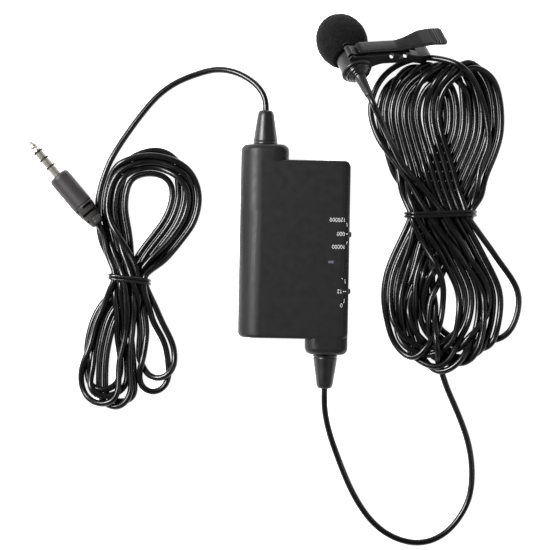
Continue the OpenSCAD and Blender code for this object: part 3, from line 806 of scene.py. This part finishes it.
def tie_wire(name, path, centre, slant):
    """Two turns of thin wire drawn tight around the strands at the tie's place."""
    wire_r = 0.5
    turns = 2.15
    reach = 1.2
    near = path[np.abs(path[:, 1] - centre[1]) < reach]
    middle_z = (near[:, 2].min() + near[:, 2].max()) / 2
    points = []
    steps = 260
    for k in range(steps + 1):
        turn = turns * k / steps
        angle = 2 * math.pi * turn - 2.2
        out = np.array([math.cos(angle), math.sin(angle)])
        support = near[np.argmax(near[:, 0] * out[0] + near[:, 2] * out[1])]
        x = support[0] + (CORD_R + wire_r) * out[0]
        z = max(support[2] + (CORD_R + wire_r) * out[1], wire_r + 0.05)
        y = centre[1] + 1.05 * (turn - turns / 2) + slant * (x - centre[0])
        inwards = 1 - 0.10 * max(0.0, 1 - 12 * turn) - 0.10 * max(0.0, 1 - 12 * (turns - turn))
        points.append((centre[0] + (x - centre[0]) * inwards, y, middle_z + (z - middle_z) * inwards))
    rounded = even_path(np.array(points), 0.7)
    for _ in range(2):
        rounded[1:-1] = (rounded[:-2] + 2 * rounded[1:-1] + rounded[2:]) / 4
    piece = tube(name, rounded, wire_r)
    finish_mesh(piece, "tie_plastic", 60)
    return piece


PHONE_PATH = phone_cord_path()
MIC_PATH = mic_cord_path()
phone_cord = cord_curve("phone_cord", PHONE_PATH)
mic_cord = cord_curve("mic_cord", MIC_PATH)
phone_tie = tie_wire("phone_tie", PHONE_PATH, PHONE_TIE, -0.09)
mic_tie = tie_wire("mic_tie", MIC_PATH, MIC_TIE, 0.06)
place(phone_cord, "power_pack", "cord_jacket", "phone_cord_lead", "phone_cord_hank", "phone_cord_tail")
place(mic_cord, "power_pack", "cord_jacket", "mic_cord_lead", "mic_cord_hank", "mic_cord_tail")
place(phone_tie, "power_pack", "tie_plastic", "phone_hank_tie")
place(mic_tie, "power_pack", "tie_plastic", "mic_hank_tie")


# ---------- power module ----------

CASE_LOW, CASE_HIGH = node_box("case_back")
CASE_TOP = node_box("case_front")[1].z
WALL = 1.6
SPLIT_Z = CASE_TOP / 2
LEFT_R, RIGHT_R = 7.0, 3.0
STUB_LENGTH = 4.9
PLAN_R, RIM_R, STUB_RIM_R = 1.9, 1.0, 2.0
PHONE_STUB = (CASE_LOW.x, CASE_LOW.x + 15.2)
MIC_STUB = (CASE_HIGH.x - 13.4, CASE_HIGH.x)
SLAB_END = CASE_HIGH.y - STUB_LENGTH
GAP = 0.06


def end_inset(y, low, high, radius):
    """How far a rounded end draws its outline in, at a place near either end."""
    t = max(0.0, min(y - low, high - y, radius))
    return radius - math.sqrt(max(0.0, radius * radius - (radius - t) ** 2))


def case_block(name, x_range, y_range, left, right, plan, rim, inset=0.0):
    """One block of the case along Y, with rounded sections and rounded ends."""
    y0, y1 = y_range
    y0 += inset
    y1 -= inset
    plan = max(plan - inset, 0.3)
    rim = max(rim - inset, 0.3)
    places = set()
    for radius in (plan, rim):
        for i in range(7):
            t = radius * (1 - math.cos(math.pi / 2 * i / 6))
            places.update((round(y0 + t, 4), round(y1 - t, 4)))
    rings = []
    for y in sorted(places):
        in_x = inset + end_inset(y, y0, y1, plan)
        in_z = inset + end_inset(y, y0, y1, rim)
        x0, x1 = x_range[0] + in_x, x_range[1] - in_x
        z0, z1 = in_z, CASE_TOP - in_z
        shrink = max(in_x, in_z)
        loop = box_outline(x0, x1, z0, z1, max(left - shrink, 0.3), max(right - shrink, 0.3))
        rings.append([(x, y, z) for x, z in loop])
    return loft(name, rings)


def case_body(name, inset):
    """The slab and its two stubs as one solid, set in by inset."""
    sliver = 0.012
    body = case_block(name, (CASE_LOW.x, CASE_HIGH.x), (-SLAB_END, SLAB_END), LEFT_R, RIGHT_R,
                      PLAN_R, RIM_R, inset)
    stubs = (("phone_stub", PHONE_STUB, (10.0, SLAB_END + STUB_LENGTH), LEFT_R - 0.2, 5.0),
             ("mic_stub", MIC_STUB, (-SLAB_END - STUB_LENGTH, -10.0), 4.4, 4.0))
    for stub, x_range, y_range, left, right in stubs:
        x_range = (x_range[0] + sliver, x_range[1] - sliver)
        block = case_block(stub, x_range, y_range, left, right, STUB_RIM_R, STUB_RIM_R,
                           inset + sliver)
        fuse(body, block)
    return body


def half_space(low_z, high_z):
    return plain_cutter((-60, -60, low_z), (60, 60, high_z))


def relief_matrix(node, side):
    """Where a strain relief leaves the case, with local Z along the cord."""
    low, high = node_box(node)
    x = (low.x + high.x) / 2
    y = side * (SLAB_END + STUB_LENGTH)
    return Matrix.Translation((x, y, SPLIT_Z)) @ Matrix.Rotation(math.radians(-90 * side), 4, "X")


RELIEFS = (("phone_strain_relief", 1), ("mic_strain_relief", -1))
NECK_R = 2.6


def cut_relief_holes(shell):
    for node, side in RELIEFS:
        cut(shell, round_cutter(NECK_R + 0.05, -3, 1, relief_matrix(node, side)))


def case_shell(name, keep_low, keep_high, inner):
    shell = case_body(name, 0.0)
    cut(shell, link_new("hollow", inner.data.copy()))
    combine(shell, half_space(keep_low, keep_high), "INTERSECT")
    cut_relief_holes(shell)
    return shell


def screw_places():
    """The middle of each screw, from the CAD screws' own vertices."""
    low, high = node_box("case_screws")
    radius = 1.8
    return ((low.x + radius, high.y - radius), (high.x - radius, low.y + radius))


def add_boss(shell, x, y, low, high, bore):
    boss = round_cutter(BOSS_R, low, high, Matrix.Translation((x, y, 0)))
    cut(boss, round_cutter(bore, low - 1, high + 1, Matrix.Translation((x, y, 0))))
    fuse(shell, boss)


SWITCH_Z = 5.9
KNOB_L = 1.9
TRAVEL = 2.35
DOOR_W, DOOR_L = 12.4, 20.5
DOOR_X = -3.6
WINDOW_HALF_X, WINDOW_HALF_Y = 0.93, 0.43
BOSS_R, PILOT_R, SCREW_R, SCREW_HEAD_R = 2.6, 0.85, 1.05, 1.95


def knob_y(node):
    low, high = node_box(node)
    return (low.y + high.y) / 2


def make_case():
    inner = case_body("inner", WALL)
    front = case_shell("front_shell", SPLIT_Z + GAP, 20, inner)
    back = case_shell("back_shell", -1, SPLIT_Z - GAP, inner)
    bpy.data.objects.remove(inner)
    light_low, light_high = node_box("light_pipe")
    window_x = (light_low.x + light_high.x) / 2
    window_y = (light_low.y + light_high.y) / 2
    cut(front, plain_cutter((window_x - WINDOW_HALF_X, window_y - WINDOW_HALF_Y, 12),
                            (window_x + WINDOW_HALF_X, window_y + WINDOW_HALF_Y, 16)))
    for x, y in screw_places():
        add_boss(front, x, y, 8.7, 14.0, PILOT_R)
        add_boss(back, x, y, 1.0, 7.4, SCREW_R)
        cut(back, round_cutter(SCREW_HEAD_R, -1, 1.6, Matrix.Translation((x, y, 0))))
        cut(back, round_cutter(SCREW_R, 0, 5, Matrix.Translation((x, y, 0))))
    half = DOOR_W / 2 + 0.15
    cut(back, plain_cutter((DOOR_X - half, -SLAB_END - 3, -1),
                           (DOOR_X + half, DOOR_L - SLAB_END + 0.15, 2.6)))
    for node in ("power_switch_knob", "pad_switch_knob"):
        y = knob_y(node)
        reach = KNOB_L / 2 + TRAVEL + 0.3
        slot = rounded_box("slot", (CASE_HIGH.x - 3, y - reach, SWITCH_Z - 0.85),
                           (CASE_HIGH.x + 2, y + reach, SWITCH_Z + 0.85), 0.3)
        cut(back, slot)
    for shell, name in ((front, "case_front"), (back, "case_back")):
        dress(shell, "case_plastic", 40, "power_pack", name)


def make_reliefs():
    """Tapered boots: a flange and neck inside the wall, a ring line, a long cone, a round tip."""
    for node, side in RELIEFS:
        profile = [(0, -WALL - 2), (3.4, -WALL - 2), (3.4, -WALL), (NECK_R, -WALL), (NECK_R, 0.02),
                   (3.85, 0.02), (3.85, 0.7), (3.62, 0.95), (3.8, 1.25), (2.62, 9.6), (2.3, 10.6),
                   (1.62, 11.0), (0, 11.0)]
        cone = lathe(node[:-7], soften(profile, 0.35), relief_matrix(node, side), 72)
        dress(cone, "relief_rubber", 50, "power_pack", node)


def make_knobs():
    for node, body in (("power_switch_knob", "power_knob"), ("pad_switch_knob", "pad_knob")):
        low, high = node_box(node)
        y = knob_y(node)
        slider = rounded_box(node[:-5] + "_cap", (low.x, y - 1.4, SWITCH_Z - 0.6),
                             (low.x + 1.6, y + 1.4, SWITCH_Z + 0.6), 0.15)
        head = rounded_box("head", (low.x + 0.6, y - KNOB_L / 2, SWITCH_Z - 0.6),
                           (high.x, y + KNOB_L / 2, SWITCH_Z + 0.6), 0.57)
        fuse(slider, head)
        dress(slider, "knob_plastic", 40, body, node)


# ---------- printed marks ----------

MARK_Z = CASE_TOP
INK_T = 0.03
STROKE = 0.12
# From one numeral to the next, on the grid below
LETTER_PITCH = 3.1
# Numerals and a dash as strokes on a grid 2 wide and 4 high
GLYPHS = {
    "0": [[(0, 1), (0, 3), (0.6, 4), (1.4, 4), (2, 3), (2, 1), (1.4, 0), (0.6, 0), (0, 1)]],
    "1": [[(0.4, 3.2), (1.2, 4), (1.2, 0)]],
    "2": [[(0, 3.1), (0.5, 4), (1.6, 4), (2, 3), (0, 0), (2, 0)]],
    "-": [[(0.2, 2), (1.8, 2)]],
}


def stroke_points(line, width):
    """Left and right edge of a stroke, mitred at its bends."""
    left, right = [], []
    for i, point in enumerate(line):
        here = Vector(point)
        before = Vector(line[max(i - 1, 0)])
        after = Vector(line[min(i + 1, len(line) - 1)])
        if (line[0] == line[-1]) and i in (0, len(line) - 1):
            before, after = Vector(line[-2]), Vector(line[1])
        a = (here - before).normalized() if (here - before).length > 0 else (after - here).normalized()
        b = (after - here).normalized() if (after - here).length > 0 else a
        square = Vector((-(a + b).y, (a + b).x)).normalized()
        reach = width / 2 / max(0.4, square.dot(Vector((-a.y, a.x))))
        left.append(here + square * reach)
        right.append(here - square * reach)
    return left, right


def ink(name, lines):
    """Thin raised ink from lines on the front of the case, in millimetres."""
    points, faces = [], []
    for line in lines:
        left, right = stroke_points(line, STROKE)
        start = len(points)
        for a, b in zip(left, right):
            for p, z in ((a, MARK_Z + INK_T), (b, MARK_Z + INK_T), (b, MARK_Z - 0.01), (a, MARK_Z - 0.01)):
                points.append((p.x, p.y, z))
        for i in range(len(line) - 1):
            s = start + 4 * i
            for k in range(4):
                n = (k + 1) % 4
                faces.append([s + k, s + n, s + n + 4, s + k + 4])
        if line[0] != line[-1]:
            faces.append([start, start + 1, start + 2, start + 3])
            e = start + 4 * (len(line) - 1)
            faces.append([e + 3, e + 2, e + 1, e])
    piece = new_object(name, points, faces)
    finish_mesh(piece, "ink", 30)
    return place(piece, "power_pack", "case_plastic")


def glyph_lines(text, right_x, middle_y, height=1.1):
    """Numerals in a row, turned half round, so that they read from the microphone's end."""
    lines = []
    unit = height / 4
    top = middle_y + height / 2
    for i, letter in enumerate(text):
        start = LETTER_PITCH * i
        for line in GLYPHS[letter]:
            lines.append([(right_x - (x + start) * unit, top - y * unit) for x, y in line])
    return lines


def dot_line(x, y, radius=0.13):
    return [(x + radius * math.cos(a), y + radius * math.sin(a))
            for a in [2 * math.pi * i / 8 for i in range(9)]]


def make_marks():
    power_y = knob_y("power_switch_knob")
    pad_y = knob_y("pad_switch_knob")
    edge = CASE_HIGH.x - 1.5
    lines = glyph_lines("120000", edge, power_y + 4.4)
    lines += glyph_lines("000", edge - 0.2, power_y)
    lines += glyph_lines("10000", edge, power_y - 4.1)
    lines.append([(edge + 0.45, power_y + 3.5), (edge + 0.6, power_y + 2.3)])
    lines.append([(edge + 0.45, power_y - 3.2), (edge + 0.7, power_y - 2.3)])
    lines.append(dot_line(edge + 0.55, power_y))
    ink("power_marks", lines)
    lines = glyph_lines("-", edge - 0.4, pad_y + 4.0)
    lines += glyph_lines("12", edge - 0.7, pad_y)
    lines += glyph_lines("0", edge - 0.5, pad_y - 4.4)
    lines.append([(edge + 0.2, pad_y + 3.8), (edge + 0.3, pad_y + 2.5)])
    lines.append([(edge + 0.1, pad_y - 2.3), (edge + 0.1, pad_y - 3.3), (edge - 0.2, pad_y - 3.6)])
    lines.append(dot_line(edge - 0.1, pad_y))
    lines.append(dot_line(edge + 0.5, pad_y))
    ink("level_marks", lines)


make_case()
make_reliefs()
make_knobs()
make_marks()


# ---------- plug ----------

PLUG_TURN = Euler((0, math.radians(90), math.radians(131)))
PLUG = Matrix.Translation((-76, 22.3, 3.5)) @ PLUG_TURN.to_matrix().to_4x4()
HANDLE_L, HANDLE_R = 12.4, 3.45
BOOT_L = 6.2
PIN_R, CORE_R = 1.75, 1.05
SPLITS = (3.6, 6.8, 9.7)
INSULATOR_L = 0.5
PIN_L = 14.2


def make_plug():
    pieces = []
    half = INSULATOR_L / 2
    spans = (("plug_sleeve_band", "plug_sleeve", 0.0, SPLITS[0] - half),
             ("plug_ring_band_1", "plug_ring_1", SPLITS[0] + half, SPLITS[1] - half),
             ("plug_ring_band_2", "plug_ring_2", SPLITS[1] + half, SPLITS[2] - half))
    for name, node, low, high in spans:
        edge = 0.12
        profile = [(CORE_R, low), (PIN_R - edge, low), (PIN_R, low + edge), (PIN_R, high - edge),
                   (PIN_R - edge, high), (CORE_R, high)]
        band = lathe(name, profile, PLUG)
        dress(band, "gold_plating", 40, "power_pack", node)
        pieces.append(band)
    low = SPLITS[2] + half
    tip_profile = [(0, -2), (0.5, -2), (0.5, low), (PIN_R - 0.1, low), (PIN_R, low + 0.12),
                   (PIN_R, low + 0.5), (1.22, low + 1.15), (1.24, low + 1.35), (1.56, low + 1.8),
                   (1.5, low + 2.3), (0.75, PIN_L - 0.35), (0.35, PIN_L - 0.08), (0, PIN_L)]
    tip = lathe("plug_point", soften(tip_profile, 0.3), PLUG)
    dress(tip, "gold_plating", 40, "power_pack", "plug_tip")
    core_profile = [(0.5, -1.5), (CORE_R, -1.5)]
    for split in SPLITS:
        core_profile += [(CORE_R, split - half), (PIN_R - 0.06, split - half), (PIN_R - 0.06, split + half)]
        if split != SPLITS[-1]:
            core_profile.append((CORE_R, split + half))
    core_profile.append((0.5, SPLITS[-1] + half))
    core = lathe("plug_core", core_profile, PLUG)
    dress(core, "insulator_plastic", 30, "power_pack", "plug_insulators")
    handle_profile = [(0, -HANDLE_L), (HANDLE_R - 0.15, -HANDLE_L), (HANDLE_R, -HANDLE_L + 0.15),
                      (HANDLE_R, -0.9), (HANDLE_R - 0.35, -0.25), (HANDLE_R - 1.0, 0), (CORE_R, 0),
                      (CORE_R, -2), (0, -2)]
    handle = lathe("plug_grip", soften(handle_profile, 0.4), PLUG, 96)
    dress(handle, "handle_plastic", 50, "power_pack", "plug_handle")
    return pieces + [tip, core, handle, make_plug_boot()]


def make_plug_boot():
    """A boot with three rows of slots, as on a real boot that bends; a hole beside two of the slots."""
    end = -HANDLE_L - BOOT_L - 1.7
    wide = HANDLE_R - 0.08
    start = -HANDLE_L - 0.01
    profile = [(0, end), (1.75, end), (2.2, end + 0.5), (2.7, end + 3.0), (wide, -HANDLE_L - 1.0),
               (wide, start), (0, start)]
    boot = lathe("plug_sleeve_boot", soften(profile, 0.45), PLUG, 72)
    slot_h = 0.8
    for i, (width, turn) in enumerate(((3.4, 24), (4.8, 6), (3.0, 24))):
        middle = -HANDLE_L - 1.0 - 2.25 * i
        for side in (0, 180):
            place_slot = PLUG @ Matrix.Rotation(math.radians(side + turn), 4, "Z")
            cut(boot, rounded_box("slot", (1.15, -width / 2, middle - slot_h / 2),
                                  (4, width / 2, middle + slot_h / 2), 0.2, place_slot))
            if i != 1:
                place_hole = (PLUG @ Matrix.Rotation(math.radians(side - 50), 4, "Z")
                              @ Matrix.Translation((0, 0, middle)) @ Matrix.Rotation(math.pi / 2, 4, "Y"))
                cut(boot, round_cutter(0.5, 1.2, 4, place_hole, 24))
    return dress(boot, "boot_rubber", 40, "power_pack", "plug_boot")


PLUG_PIECES = make_plug()


# ---------- microphone head ----------

HEAD = Matrix.Translation((13.9, 66.4, 8.6)) @ Euler(
    [math.radians(a) for a in (54.5, 27.5, 7)]).to_matrix().to_4x4()
FOAM_R, FOAM_A, FOAM_BACK = 8.15, 9.5, 6.8
HOUSING_R = 3.3
CLIP_MID, CLIP_W = 9.2, 6.0
PIVOT = (14.6, 4.6)


def make_foam():
    """An egg of open-cell foam with a bore for the housing; its skin is uneven."""
    steps = 44
    back_angle = math.acos(FOAM_BACK / FOAM_A)
    profile = []
    for i in range(steps + 1):
        t = math.pi - i * (math.pi - back_angle) / steps
        profile.append((FOAM_R * math.sin(t), FOAM_A * math.cos(t)))
    profile[0] = (0, -FOAM_A)
    rim = profile[-1][0]
    bore = HOUSING_R + 0.08
    profile += [(rim - 0.25, FOAM_BACK + 0.05), (rim - 0.8, FOAM_BACK + 0.1), (bore + 0.7, FOAM_BACK + 0.1),
                (bore + 0.1, FOAM_BACK), (bore, FOAM_BACK - 0.5), (bore, -3.5), (0, -3.5)]
    foam = lathe("foam_cover", profile, HEAD, 128)
    rough_skin(foam)
    dress(foam, "foam", 60, "windscreen", "foam_windscreen")


def rough_skin(piece):
    """Moves the outer points in and out a little, as cut foam does."""
    centre = HEAD @ Vector((0, 0, 0))
    for vertex in piece.data.vertices:
        out = vertex.co / MM - centre
        if out.length < 5:
            continue
        where = vertex.co / MM
        fine = noise.noise(where * 1.9)
        broad = noise.noise(where * 0.35)
        vertex.co += vertex.normal * MM * (0.10 * fine + 0.10 * broad - 0.12)


def make_housing():
    profile = [(HOUSING_R - 0.4, -3), (HOUSING_R - 0.15, -3), (HOUSING_R, -2.85), (HOUSING_R, 6.5),
               (HOUSING_R - 0.15, 6.65), (HOUSING_R - 0.15, 6.9), (HOUSING_R, 7.05), (HOUSING_R, 13.25),
               (HOUSING_R - 0.15, 13.4), (1.6, 13.4), (1.6, 12.6), (HOUSING_R - 0.4, 12.6)]
    housing = lathe("housing_tube", profile, HEAD, 72)
    dress(housing, "housing_metal", 40, "mic_head", "capsule_housing")
    cap_profile = [(0, 12.2), (1.55, 12.2), (1.55, 13.42), (4.15, 13.42)]
    for radius, low in ((4.15, 13.42), (3.85, 14.05), (3.2, 14.6), (2.5, 15.1)):
        cap_profile += [(radius, low + 0.12), (radius, low + 0.38), (radius - 0.2, low + 0.5)]
    cap_profile.append((0, 15.6))
    cap = lathe("housing_cap", soften(cap_profile, 0.12, 3), HEAD, 72)
    dress(cap, "housing_metal", 50, "mic_head", "housing_back_cap")
    boot_profile = [(0, 15.3), (1.95, 15.3), (2.0, 15.7), (1.85, 16.1), (1.72, 16.8), (1.62, 18),
                    (1.3, 22.6), (1.22, 23.3), (1.02, 23.6), (0, 23.6)]
    boot = lathe("mic_cord_boot", soften(boot_profile, 0.25), HEAD, 48)
    dress(boot, "relief_rubber", 50, "mic_head", "mic_boot")


def curve_at(points, x):
    """A smooth height along X through a few points, eased at each of them."""
    xs = [p[0] for p in points]
    ys = [p[1] for p in points]
    spread = 0.5
    samples = [np.interp(x + d, xs, ys) for d in np.linspace(-spread, spread, 9)]
    return float(np.mean(samples))


UPPER_TOP = [(-1, 6.72), (0, 7.2), (13, 7.5), (16.6, 8.6), (20.6, 10), (25.4, 10.6), (29.9, 10.3)]
UPPER_LOW = [(-1, 6.35), (13.2, 6.3), (17.2, 7.3), (21, 8.6), (25, 9.2), (29.8, 9.1)]
UPPER_HALF = [(-1, 1.75), (-0.2, 2.1), (13.5, 2.1), (17, 2.4), (21.5, 2.9), (29.2, 3.0), (30, 2.6)]
PADDLE_WIDER = [(16, 0), (21.5, 0.6), (30, 0.9)]
RIB_START, RIB_PITCH, RIB_COUNT = 24.3, 0.95, 6


def rib_dip(x):
    """How deep the grip grooves are at a place along the paddle."""
    t = (x - RIB_START) / RIB_PITCH
    if t < 0 or t > RIB_COUNT:
        return 0.0
    return 0.45 * max(0.0, math.cos(2 * math.pi * (t - 0.5))) ** 2


def make_upper_lever():
    rings = []
    edge = 0.5
    length = 30.9
    rows = [-1 + length * i / 250 for i in range(251)]
    for x in rows:
        end = end_inset(x, -1, 29.9, 0.45)
        top = curve_at(UPPER_TOP, x) - rib_dip(x) - end * 0.6
        low = curve_at(UPPER_LOW, x) + end * 0.4
        half = curve_at(UPPER_HALF, x) - end
        radius = min(edge, (top - low) * 0.45)
        outline = box_outline(-half - curve_at(PADDLE_WIDER, x), half, low, top, radius, radius, 0.0, 4)
        rings.append([(x, y, CLIP_MID + z) for z, y in outline])
    lever = loft("clip_lever_top", rings, HEAD)
    lug = plate("lug", [(PIVOT[0] - 1.7, 7.0), (PIVOT[0] - 1.7, 3.6), (PIVOT[0] - 0.6, 3.1),
                        (PIVOT[0] + 0.6, 3.1), (PIVOT[0] + 1.7, 3.6), (PIVOT[0] + 1.7, 7.6)],
                1.0, CLIP_MID - 1.7, CLIP_MID + 1.7, HEAD, 0.15)
    fuse(lever, lug)
    pin_place = HEAD @ Matrix.Translation((PIVOT[0], PIVOT[1], 0))
    cut(lever, round_cutter(0.85, 0, 30, pin_place, 32))
    cut(lever, plain_cutter((PIVOT[0] + 0.9, 2, CLIP_MID - 1), (PIVOT[0] + 4.9, 6.8, CLIP_MID + 1), HEAD))
    dress(lever, "clip_plastic", 40, "clip_lever", "clip_upper_lever")


LOWER_OUTLINE = [(-3.4, 3.6), (-4.3, 4.6), (-4.3, 5.7), (-3.5, 6.4), (-2.7, 5.9), (-1.6, 5.8),
                 (12.4, 6), (17.6, 5.5), (21, 4.7), (25.6, 4.4), (26.9, 3.5), (27.1, 2.2),
                 (26.4, 1.0), (24.8, 0.7), (20, 1.7), (16.8, 2.0), (8.6, 2), (5.9, 1.0),
                 (4.6, -0.6), (3.4, 0.6), (3.4, 3.2)]
RING_FRONT, RING_BACK = 7.1, 13.3


def make_lower_lever():
    """Jaw, pivot cheeks and tail, with the ring that holds the housing."""
    bore = HOUSING_R + 0.06
    lever = plate("clip_lever_bottom", LOWER_OUTLINE, 0.7, CLIP_MID - CLIP_W / 2, CLIP_MID + CLIP_W / 2,
                  HEAD, 0.16)
    plan = [(-12, -5), (14, -5), (14, CLIP_MID - 3.1), (23.6, CLIP_MID - 3.1), (26.5, CLIP_MID - 2.0),
            (27, CLIP_MID), (26.5, CLIP_MID + 2.0), (23.6, CLIP_MID + 3.1), (14, CLIP_MID + 3.1),
            (14, 20), (-12, 20)]
    flat = HEAD @ Matrix(((1, 0, 0, 0), (0, 0, 1, 0), (0, 1, 0, 0), (0, 0, 0, 1)))
    combine(lever, plate("plan", plan, 2.6, -9, 12, flat, 0.01), "INTERSECT")
    foam_back_r = FOAM_R * math.sqrt(1 - (FOAM_BACK / FOAM_A) ** 2)
    cut(lever, round_cutter(foam_back_r + 0.6, -9, RING_FRONT - 0.11, HEAD, 64))
    ring_profile = [(0, RING_FRONT), (bore + 1.0, RING_FRONT), (bore + 1.19, RING_FRONT + 0.2),
                    (bore + 1.19, RING_BACK - 1.3), (bore + 1.45, RING_BACK - 1.1),
                    (bore + 1.64, RING_BACK - 0.85), (bore + 1.64, RING_BACK - 0.3),
                    (bore + 1.4, RING_BACK), (0, RING_BACK)]
    fuse(lever, lathe("ring", soften(ring_profile, 0.2, 3), HEAD, 72))
    cut(lever, round_cutter(bore, RING_FRONT - 1, RING_BACK + 1, HEAD, 60))
    cut(lever, plain_cutter((11.4, 2.9, CLIP_MID - 1.9), (18.4, 10.9, CLIP_MID + 1.9), HEAD))
    cut(lever, plain_cutter((18, 3.6, CLIP_MID - 0.6), (21.2, 7.6, CLIP_MID + 0.6), HEAD))
    pivot_place = HEAD @ Matrix.Translation((PIVOT[0], PIVOT[1], 0))
    cut(lever, round_cutter(0.8, 0, 30, pivot_place, 32))
    for offset in (-2.6, 2.4):
        middle = HEAD @ Vector((PIVOT[0] + offset, PIVOT[1] - 1.0, CLIP_MID + 1.6))
        cut(lever, round_cutter(0.7, -14, 14, Matrix.Translation(middle), 32))
    for side in (-1, 1):
        middle = CLIP_MID + side * 2.55 - 0.3 * side
        cut(lever, plain_cutter((-6, 4.7, middle - 0.45), (2, 8.7, middle + 0.45), HEAD))
    dress(lever, "clip_plastic", 40, "power_pack", "clip_lower_lever")


make_foam()
make_housing()
make_upper_lever()
make_lower_lever()


# ---------- carried-over nodes, floor and light ------------------------


def paint_carried_nodes():
    """Gives each CAD node that is still shown the finish of its record slot."""
    for part in frame["record"]["subparts"]:
        node = frame["nodes"][part["node"]]
        node.data.materials.clear()
        node.data.materials.append(PAINT[part["material_slot"]])


def make_floor():
    half = 1.5
    mesh = bpy.data.meshes.new("floor")
    corners = [(-half, -half, 0), (half, -half, 0), (half, half, 0), (-half, half, 0)]
    mesh.from_pydata(corners, [], [(0, 1, 2, 3)])
    floor = link_new("floor", mesh)
    material = shader("floor", (0.86, 0.86, 0.86), 0.7, Emission_Strength=0.92)
    material.node_tree.nodes["Principled BSDF"].inputs["Emission Color"].default_value = (1, 1, 1, 1)
    mesh.materials.append(material)


def make_light(name, at, target, size, power):
    data = bpy.data.lights.new(name, "AREA")
    data.shape = "RECTANGLE"
    data.size = size[0] * MM
    data.size_y = size[1] * MM
    data.energy = power
    light = link_new(name, data)
    light.location = Vector(at) * MM
    direction = Vector(target) - Vector(at)
    light.rotation_euler = direction.to_track_quat("-Z", "Y").to_euler()


def make_lights():
    make_light("key", (-400, 150, 430), (0, 0, 0), (190, 200), 8.0)
    make_light("fill", (380, -60, 460), (0, 0, 0), (160, 320), 0.35)
    world = bpy.data.worlds.new("studio")
    world.use_nodes = True
    background = world.node_tree.nodes["Background"]
    background.inputs["Color"].default_value = (1, 1, 1, 1)
    parts = new_node(world, "SeparateXYZ")
    # bright near the horizon and dim overhead
    level = new_node(world, "MapRange", From_Min=0.55, From_Max=0.90, To_Min=0.32, To_Max=0.03)
    level.interpolation_type = "SMOOTHSTEP"
    connect(world, new_node(world, "TexCoord").outputs["Generated"], parts, "Vector")
    connect(world, parts.outputs["Z"], level, "Value")
    connect(world, level.outputs["Result"], background, "Strength")
    bpy.context.scene.world = world
    bpy.context.scene.view_settings.view_transform = "Standard"


paint_carried_nodes()
make_floor()
make_lights()
